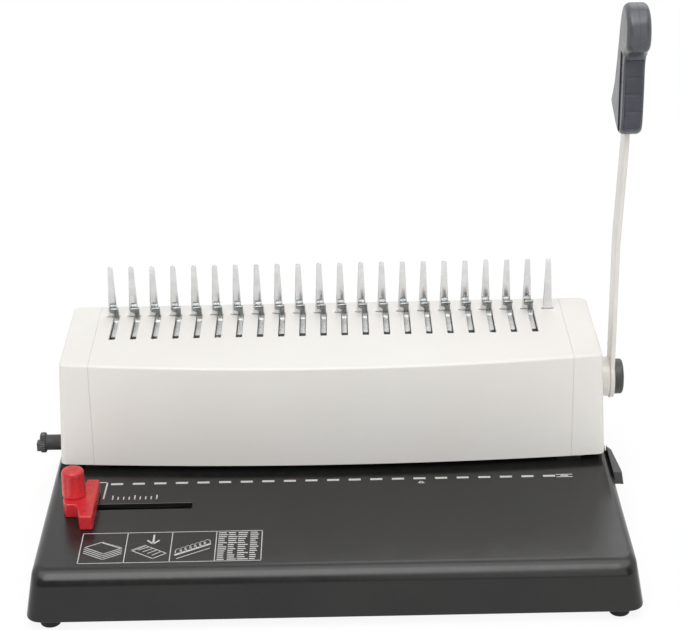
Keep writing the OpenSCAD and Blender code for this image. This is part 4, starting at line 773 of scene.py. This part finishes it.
def roundCorners(points, radius, steps=6):
    # each corner of an anticlockwise outline becomes an arc that touches both its sides
    p = np.asarray(points, float)
    back, ahead = np.roll(p, 1, 0) - p, np.roll(p, -1, 0) - p
    back /= np.linalg.norm(back, axis=1, keepdims=True)
    ahead /= np.linalg.norm(ahead, axis=1, keepdims=True)
    half = np.arccos(np.clip((back * ahead).sum(1), -1, 1)) / 2
    reach = (radius / np.tan(half))[:, None]
    start, stop = p + back * reach, p + ahead * reach
    t = np.linspace(0, 1, steps)[:, None]
    # the corner's share is weighted so that the curve is part of a circle
    share = 2 * t * (1 - t) * np.sin(half)[:, None, None]
    arc = (1 - t) ** 2 * start[:, None] + share * p[:, None] + t ** 2 * stop[:, None]
    return (arc / ((1 - t) ** 2 + share + t ** 2)).reshape(-1, 2)


def slab(name, outline, low, high, radius):
    # flat plate with a rounded upper edge
    goneIn, toRise = quarter(6)
    z = np.r_[low, low + 0.25, high - radius * toRise, high]
    cut = np.r_[0.25, 0, radius * goneIn, radius + 0.1]
    flat = outline - inward(outline) * cut[:, None, None]
    return loft(name, xyz(flat[..., 0], flat[..., 1], z[:, None]))


def makeGuide():
    # plate with a fence, each corner with its own radius, and a tongue in the slot below
    s = guideShape
    x, y, low, right = pick(s, "x y low fenceRight")
    inner = right - s["fenceThick"]
    plate = np.array([(x - 6.6, y + 12, 2), (x - 6.6, y - 7, 2), (x - 4.5, y - 13, 2), (x + 3, y - 13, 3),
                      (inner, y - 29, 1.2), (right, y - 29, 1.2), (right, y + 20, 1.2), (inner, y + 20, 1.2),
                      (inner - 1, y + 12, 0.8)])
    outline = roundCorners(plate[:, :2], plate[:, 2])
    piece = slab("edgeGuide", outline, low, low + s["tall"], s["round"])
    tongue = roundRect(*s["tongue"], 4)
    carve(piece, prisms(tongue, [(x + s["tongueX"], y)], s["tongueLow"], low + 1), "UNION")
    smoothMesh(piece.data, 40)
    settle(piece, "guide", "red", "edge_guide")


def makeGuideKnob():
    # tapered knob with a domed top and shallow finger flutes that fade out at both ends
    s = guideShape
    low, tall, r0, r1, dome = pick(s, "knobLow knobTall knobRadius knobTop knobDome")
    shoulder = tall - s["knobShoulder"]
    goneIn, toRise = (v[1:] for v in quarter(9))
    side = np.linspace(0.6, shoulder, 14)
    wall = np.c_[r0 + (r1 - r0) * side / tall, low + side]
    end = wall[-1, 0]
    over = np.c_[end - dome * goneIn, low + shoulder + dome * (1 - toRise)]
    crown = np.linspace(end - 3, 0.3, 6)
    top = np.c_[crown, low + tall - 0.02 - 0.5 * (crown / end) ** 2]
    profile = np.concatenate([[(r0 - 0.5, low), (r0 - 0.1, low + 0.2)], wall, over, top])
    fade = lambda h: np.clip((h - low - 1.5) / 2.5, 0, 1) * np.clip((low + tall - 2.0 - h) / 2.5, 0, 1)
    flute = lambda a, r, h: -s["fluteDeep"] * fade(h) * np.clip(np.cos(s["flutes"] * a), -0.2, 1)
    piece = turned("guideKnob", profile, (s["x"], s["y"], 0), "z", 108, flute, sharp=45)
    settle(piece, "clamp", "red", "guide_knob")


makeGuide()
makeGuideKnob()
print("edge guide made")

# turned knob at the left, feet and springs
depthKnob = dict(end=-201.975, inner=-182.875, neck=5.3, rim=7.0, rimThick=4.0, point=2.6, teeth=26,
                 tooth=0.3)
footShape = dict(radius=7.5, tall=7.6, well=(4.15, 3.6), bore=2.05,
                 places=[(x, y) for x in (-175.975, 175.975) for y in (-107.8, 104.5)])
springShape = dict(radius=5.0, wire=0.6, turns=7, low=37.6, high=60.97, x=155.975, y=62.03, stroke=11.2)


def makeDepthKnob():
    # neck, knurled rim, a dished end and a raised pointer from its middle down to the rim
    s = depthKnob
    end, b, r, neck = pick(s, "end inner rim neck")
    a = end + s["point"]
    behind = a + s["rimThick"]
    dish = np.linspace(0.4, r - 1.8, 6)
    face = np.c_[dish, a + 0.5 - 0.4 * (dish / r) ** 2]
    rim = [(r - 1.0, a), (r - 0.3, a + 0.3), (r, a + 1.0), (r, a + 2.0), (r, behind - 0.9),
           (r - 0.3, behind - 0.3), (r - 0.9, behind), (neck + 0.3, behind + 0.1), (neck, behind + 0.5),
           (neck, b - 0.5), (neck - 0.4, b)]
    knurl = lambda t, radius, h: np.where(radius > r - 0.4, s["tooth"] * (np.cos(s["teeth"] * t) - 1), 0.0)
    piece = turned("depthKnob", np.concatenate([face, rim]), depthAxis, "x", 104, knurl, sharp=50)
    outline = roundCorners([(-3, 0.8), (-3, -5.2), (-1.6, -6), (1.6, -6), (3, -5.2), (3, 0.8)], 0.5)
    inset = np.array([0.0, 0.0, 0.12, 0.4])
    flat = outline - inward(outline) * inset[:, None, None]
    x = np.array([a + 0.9, end + 0.4, end + 0.12, end])[:, None]
    rings = xyz(x, depthAxis[1] + flat[..., 0], depthAxis[2] + flat[..., 1])
    carve(piece, loft("cutter", rings), "UNION")
    smoothMesh(piece.data, 40)
    settle(piece, "depth", "knob_black", "depth_knob")


def makeFeet():
    # rounded rubber button with a screw well underneath
    s = footShape
    r, tall, bore, (well, wellTop) = pick(s, "radius tall bore well")
    goneIn, toRise = quarter(6)
    sole = np.c_[r - 1.0 - 1.4 * toRise, 1.4 * goneIn]
    inside = [(well, wellTop), (well, 0.5), (well + 0.35, 0.1), (well + 0.75, 0.0)]
    outside = [(r - 0.25, tall - 1.6), (r, tall - 0.5), (r - 0.3, tall), (bore, tall), (bore, wellTop)]
    profile = np.concatenate([inside, sole, outside, inside[:1]])
    places = [(x, y, 0) for x, y in s["places"]]
    piece = turned("rubberFeet", profile, places, "z", 48, caps=(False, False))
    mend(piece.data, 32, True)
    settle(piece, "base", "rubber", "rubber_feet")


def makeSprings():
    # round wire wound on a cylinder, the end turns closer together than the middle ones
    s = springShape
    low, high, wire, turns = pick(s, "low high wire turns")
    t = np.linspace(0, 1, turns * 28 + 1)
    angle = (tau * turns * t)[:, None]
    tall = high - low
    rise = low + wire + (tall - 2 * wire) * (t - 0.07 * np.sin(tau * t))
    b = np.arange(10) * tau / 10
    r = s["radius"] + wire * np.cos(b)
    shape = xyz(r * np.cos(angle), r * np.sin(angle), rise[:, None] + wire * np.sin(b))
    rings = np.stack([shape + (x, s["y"], 0) for x in (-s["x"], s["x"])])
    piece = settle(loft("ramSprings", rings, sharp=60), "base", "screw_steel", "ram_springs")
    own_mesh(piece)


makeDepthKnob()
makeFeet()
makeSprings()
print("knob, feet and springs made")

# screws, their recess as shares of the head's radius and height
screwShape = dict(cross=0.62, arm=0.17, deep=0.62)


def screwHeads(kind, body, slot, radius, tall, shank, heads):
    # low domed heads with a cross-shaped recess; each of heads is a base point, an axis and a length behind
    s = screwShape
    rho = np.r_[np.linspace(0, 0.9, 13), 0.95, 0.985, 1.0][:, None]
    angle = np.arange(48) * tau / 48
    u, v = rho * np.cos(angle), rho * np.sin(angle)
    inArm = lambda p: np.clip((s["arm"] - np.abs(p)) / 0.05, 0, 1)
    inReach = lambda p: np.clip((s["cross"] - np.abs(p)) / 0.08, 0, 1)
    recess = s["deep"] * np.maximum(inArm(u) * inReach(v), inArm(v) * inReach(u))
    rise = tall * (1 - 0.22 * rho ** 2 - 0.25 * np.clip((rho - 0.9) / 0.1, 0, 1) ** 2 - recess)
    top = xyz(u * radius, v * radius, rise)[::-1]
    ring = xyz(np.cos(angle), np.sin(angle), 0)
    rings = []
    for point, axis, length in heads:
        levels = ((shank * 0.8, -length), (shank, -length + 0.5), (shank, 0), (radius, 0))
        stem = np.stack([ring * (r, r, 0) + (0, 0, z) for r, z in levels])
        turn = np.array(Vector((0, 0, 1)).rotation_difference(Vector(axis)).to_matrix())
        rings.append(np.concatenate([stem, top]) @ turn.T + point)
    piece = loft(kind + "Screws", np.stack(rings), caps=(True, False), sharp=40)
    mend(piece.data, 40, True)
    settle(piece, body, slot, kind + "_screws")


sides = (-1, 1)
gripPlace = (gripShape["x"] + gripShape["screwSeat"][1], pivot[1] + gripShape["screwY"])
screwHeads("cap", "base", "dark_steel", 3.6, 2.2, 1.9,
           [((s * coverShape["seat"][1], y, z), (s, 0, 0), 8.7) for s in sides for y, z in capBosses])
screwHeads("rear", "base", "dark_steel", 2.8, 2.0, 1.5,
           [((s * 154.475, 113.4, z), (0, 1, 0), 5.9) for s in sides for z in (56.0, 88.0)])
screwHeads("grip", "lever", "dark_steel", 3.4, 2.0, 2.0,
           [((*gripPlace, z), (1, 0, 0), 10.1) for z in gripShape["screws"]])
screwHeads("foot", "base", "screw_steel", 3.6, 2.0, 2.0,
           [((x, y, footShape["well"][1]), (0, 0, -1), 19.2) for x, y in footShape["places"]])
screwHeads("bottom", "base", "screw_steel", 3.6, 2.0, 2.0,
           [((s * 87.9875, y, 7.6), (0, 0, -1), 15.2) for s in sides for y in (-107.8, 104.5)])
print("screws made")

# print on the base
printShape = dict(level=37.6, thick=0.05, sunk=0.02, dashY=-1.0, dash=(8.0, 2.4), line=0.55, fine=0.6,
                  bold=1.7, arrow=1.2, panel=(-158.0, -45.0, -100.4, -64.5),
                  dividers=(-129.7, -101.5, -73.7))


def stroke(x0, y0, x1, y1, wide):
    # flat bar between two points, with square ends half a width past them, as four corners
    a, b = np.array([x0, y0]), np.array([x1, y1])
    d = (b - a) / np.linalg.norm(b - a)
    n = np.array([-d[1], d[0]]) * wide / 2
    a, b = a - d * wide / 2, b + d * wide / 2
    return np.stack([a - n, b - n, b + n, a + n])


def path(points, wide, closed=False):
    points = list(points) + ([points[0]] if closed else [])
    return [stroke(*p, *q, wide) for p, q in zip(points[:-1], points[1:])]


def rowMarks():
    # dashes between the tines, a corner mark beside the fence, a plain scale beside the slot, and end marks
    s = printShape
    long, wide = s["dash"]
    run = (long - wide) / 2
    middles = tineX[:-1] + tineRow["pitch"] / 2
    marks = [stroke(x - run, s["dashY"], x + run, s["dashY"], wide) for x in middles]
    marks += path([(-156, 1.6), (-149.4, 1.6), (-150, -20)], 1.1)
    for k in range(9):
        x = -144 + 3.6 * k
        marks.append(stroke(x, -21.5, x, -18.5 if k % 4 else -16.8, 0.8))
    marks += [stroke(148, y, 158, y, 0.8) for y in (-2.6, 0.6)] + [stroke(151, -1, 155, -1, 1.2)]
    return marks + path([(56, -7.2), (58, -4.6), (60, -7.2)], 0.8, True)


def panelLines():
    s = printShape
    x0, x1, y0, y1 = s["panel"]
    lines = path([(x0, y0), (x1, y0), (x1, y1), (x0, y1)], s["line"], True)
    return lines + [stroke(x, y0, x, y1, s["line"]) for x in s["dividers"]]


def panelPictures(fine, bold, arrow):
    # first field: a stack of sheets seen from a corner
    marks = []
    for up in (0.0, 2.2, 4.4):
        marks += path([(-155.5, -88 + up), (-143, -96 + up), (-132, -89.5 + up)], fine)
    marks += path([(-155.5, -81.4), (-143, -89.4), (-132, -82.9), (-144.5, -75)], fine, True)
    marks.append(stroke(-144, -76, -133.5, -82.2, bold))
    # second field: one sheet with ruled lines and an arrow down
    marks += path([(-126, -86), (-112, -96), (-104, -90), (-118, -80)], fine, True)
    marks.append(stroke(-125, -85.5, -118.5, -80.8, bold))
    for k in range(4):
        marks.append(stroke(-121.5 + 3 * k, -85.4 - 2.2 * k, -115 + 2.6 * k, -82 - 1.9 * k, fine))
    marks.append(stroke(-113, -68, -113, -77, arrow))
    marks += path([(-116.4, -74.6), (-113, -78.6), (-109.6, -74.6)], arrow)
    # third field: a row of rings on a spine, above a sheet edge
    marks += [stroke(-98, -92, -77.5, -80, bold), stroke(-97, -96.5, -77.5, -85, fine)]
    turn = np.linspace(-0.6, 3.6, 8)
    for k in range(7):
        x, y = -96.5 + 2.9 * k, -88.2 + 1.72 * k
        marks += path(np.c_[x + 2.0 * np.cos(turn), y + 3.4 * np.sin(turn)], fine)
    return marks


def dashColumns():
    # last field: close columns of short plain dashes
    dice = np.random.default_rng(7)
    marks = []
    for x, full in zip((-71.8, -65.6, -59.4, -51.8), (4.8, 4.8, 6.2, 4.6)):
        for k in range(14):
            y = -66.6 - 2.45 * k
            marks.append(stroke(x, y, x + full * dice.uniform(0.45, 1), y, 1.05))
    return marks


def makePrint():
    # all strokes as thin plates that stand a little proud of the base
    s = printShape
    pictures = panelPictures(*pick(s, "fine bold arrow"))
    flat = np.stack(rowMarks() + panelLines() + pictures + dashColumns())
    z = np.array([s["level"] - s["sunk"], s["level"] + s["thick"]])[:, None]
    rings = xyz(flat[:, None, :, 0], flat[:, None, :, 1], z)
    settle(loft("basePrint", rings), "base", "charcoal", mat=ink)


makePrint()
print("print made")

# solids that stay get softened edges
for node, width in (("chip_tray", 0.5), ("rear_panel", 0.4), ("lever_hub", 0.5)):
    weld = nodes[node].modifiers.new("weld", "WELD")
    weld.merge_threshold = 1e-6
    softEdges(nodes[node], width, 45)

# floor and light, with sizes and places in metres and power in watts
white = (1, 1, 1, 1)
floorShape = dict(size=30.0, full=(0.84, 0.84, 0.83, 1), part=(0.15, 0.15, 0.148, 1), lift=0.87)
lamps = {"key": ((-0.3, -1.1, 2.1), 1.7, 22.5), "fill": ((0.7, -2.0, 1.0), 1.4, 7.0),
         "back": ((0.5, 1.7, 1.7), 1.4, 7.0)}
lampAim = (0, 0, 0.1)
ambient = 0.6  # strength of the backdrop for rays from matt surfaces; it is 1 for the rays below
seenRays = ("Is Camera Ray", "Is Glossy Ray", "Is Transmission Ray")
room = {"dim": (0.18, (("Y", -0.1, -0.45), ("Z", -0.05, 0.1), ("Z", 0.8, 0.66))),
        "softBox": (3.0, (("Y", 0.42, 0.15), ("Z", 0.68, 0.82)))}


def raysOf(tree, first, *others):
    # 1 for the named kinds of ray, 0 for the rest
    rays = addNode(tree, "LightPath", {}).outputs
    total = rays[first]
    for name in others:
        total = maths(tree, "MAXIMUM", total, rays[name])
    return total


def makeFloor():
    # pale; for the eye and for mirrors it is lifted to the white of the backdrop and keeps the shadow
    s = floorShape
    mesh = bpy.data.meshes.new("studioFloor")
    corners = [(s["size"] * x, s["size"] * y, 0) for x, y in ((-1, -1), (1, -1), (1, 1), (-1, 1))]
    mesh.from_pydata(corners, [], [(0, 1, 2, 3)])
    floor = bpy.data.objects.new("studioFloor", mesh)
    scene.collection.objects.link(floor)
    mat = bpy.data.materials.new("paleFloor")
    mat.use_nodes = True
    tree = mat.node_tree
    tree.nodes.remove(tree.nodes["Principled BSDF"])
    full = addNode(tree, "BsdfDiffuse", {"Color": s["full"]})
    part = addNode(tree, "BsdfDiffuse", {"Color": s["part"]})
    lift = addNode(tree, "Emission", {"Color": white, "Strength": s["lift"]})
    both = addNode(tree, "AddShader", {0: part.outputs[0], 1: lift.outputs[0]})
    seen = raysOf(tree, *seenRays)
    shown = addNode(tree, "MixShader", {"Fac": seen, 1: full.outputs[0], 2: both.outputs[0]})
    feed(tree, tree.nodes["Material Output"], {"Surface": shown.outputs[0]})
    mesh.materials.append(mat)


def makeLight():
    # white all round for the eye; mirrors also see a dim room on the viewer's side, above the floor,
    # and over it a bright soft box that reaches up to the zenith
    world = bpy.data.worlds.new("studio")
    world.use_nodes = True
    scene.world = world
    tree = world.node_tree
    generated = addNode(tree, "TexCoord", {}).outputs["Generated"]
    towards = addNode(tree, "SeparateXYZ", {0: generated})
    level = spread(tree, raysOf(tree, *seenRays), ambient, 1.0, 0, 1)
    for strength, limits in room.values():
        share = raysOf(tree, "Is Glossy Ray")
        for part, low, high in limits:
            share = maths(tree, "MULTIPLY", share, spread(tree, towards.outputs[part], 0, 1, low, high))
        level = maths(tree, "MULTIPLY", level, spread(tree, share, 1.0, strength, 0, 1))
    feed(tree, tree.nodes["Background"], {"Color": white, "Strength": level})
    for name, (place, size, power) in lamps.items():
        data = bpy.data.lights.new(name, "AREA")
        data.size, data.energy = size, power
        lamp = bpy.data.objects.new(name, data)
        scene.collection.objects.link(lamp)
        lamp.location = place
        aim = Vector(lampAim) - Vector(place)
        lamp.rotation_euler = aim.to_track_quat("-Z", "Y").to_euler()


makeFloor()
makeLight()
print("floor and light set")
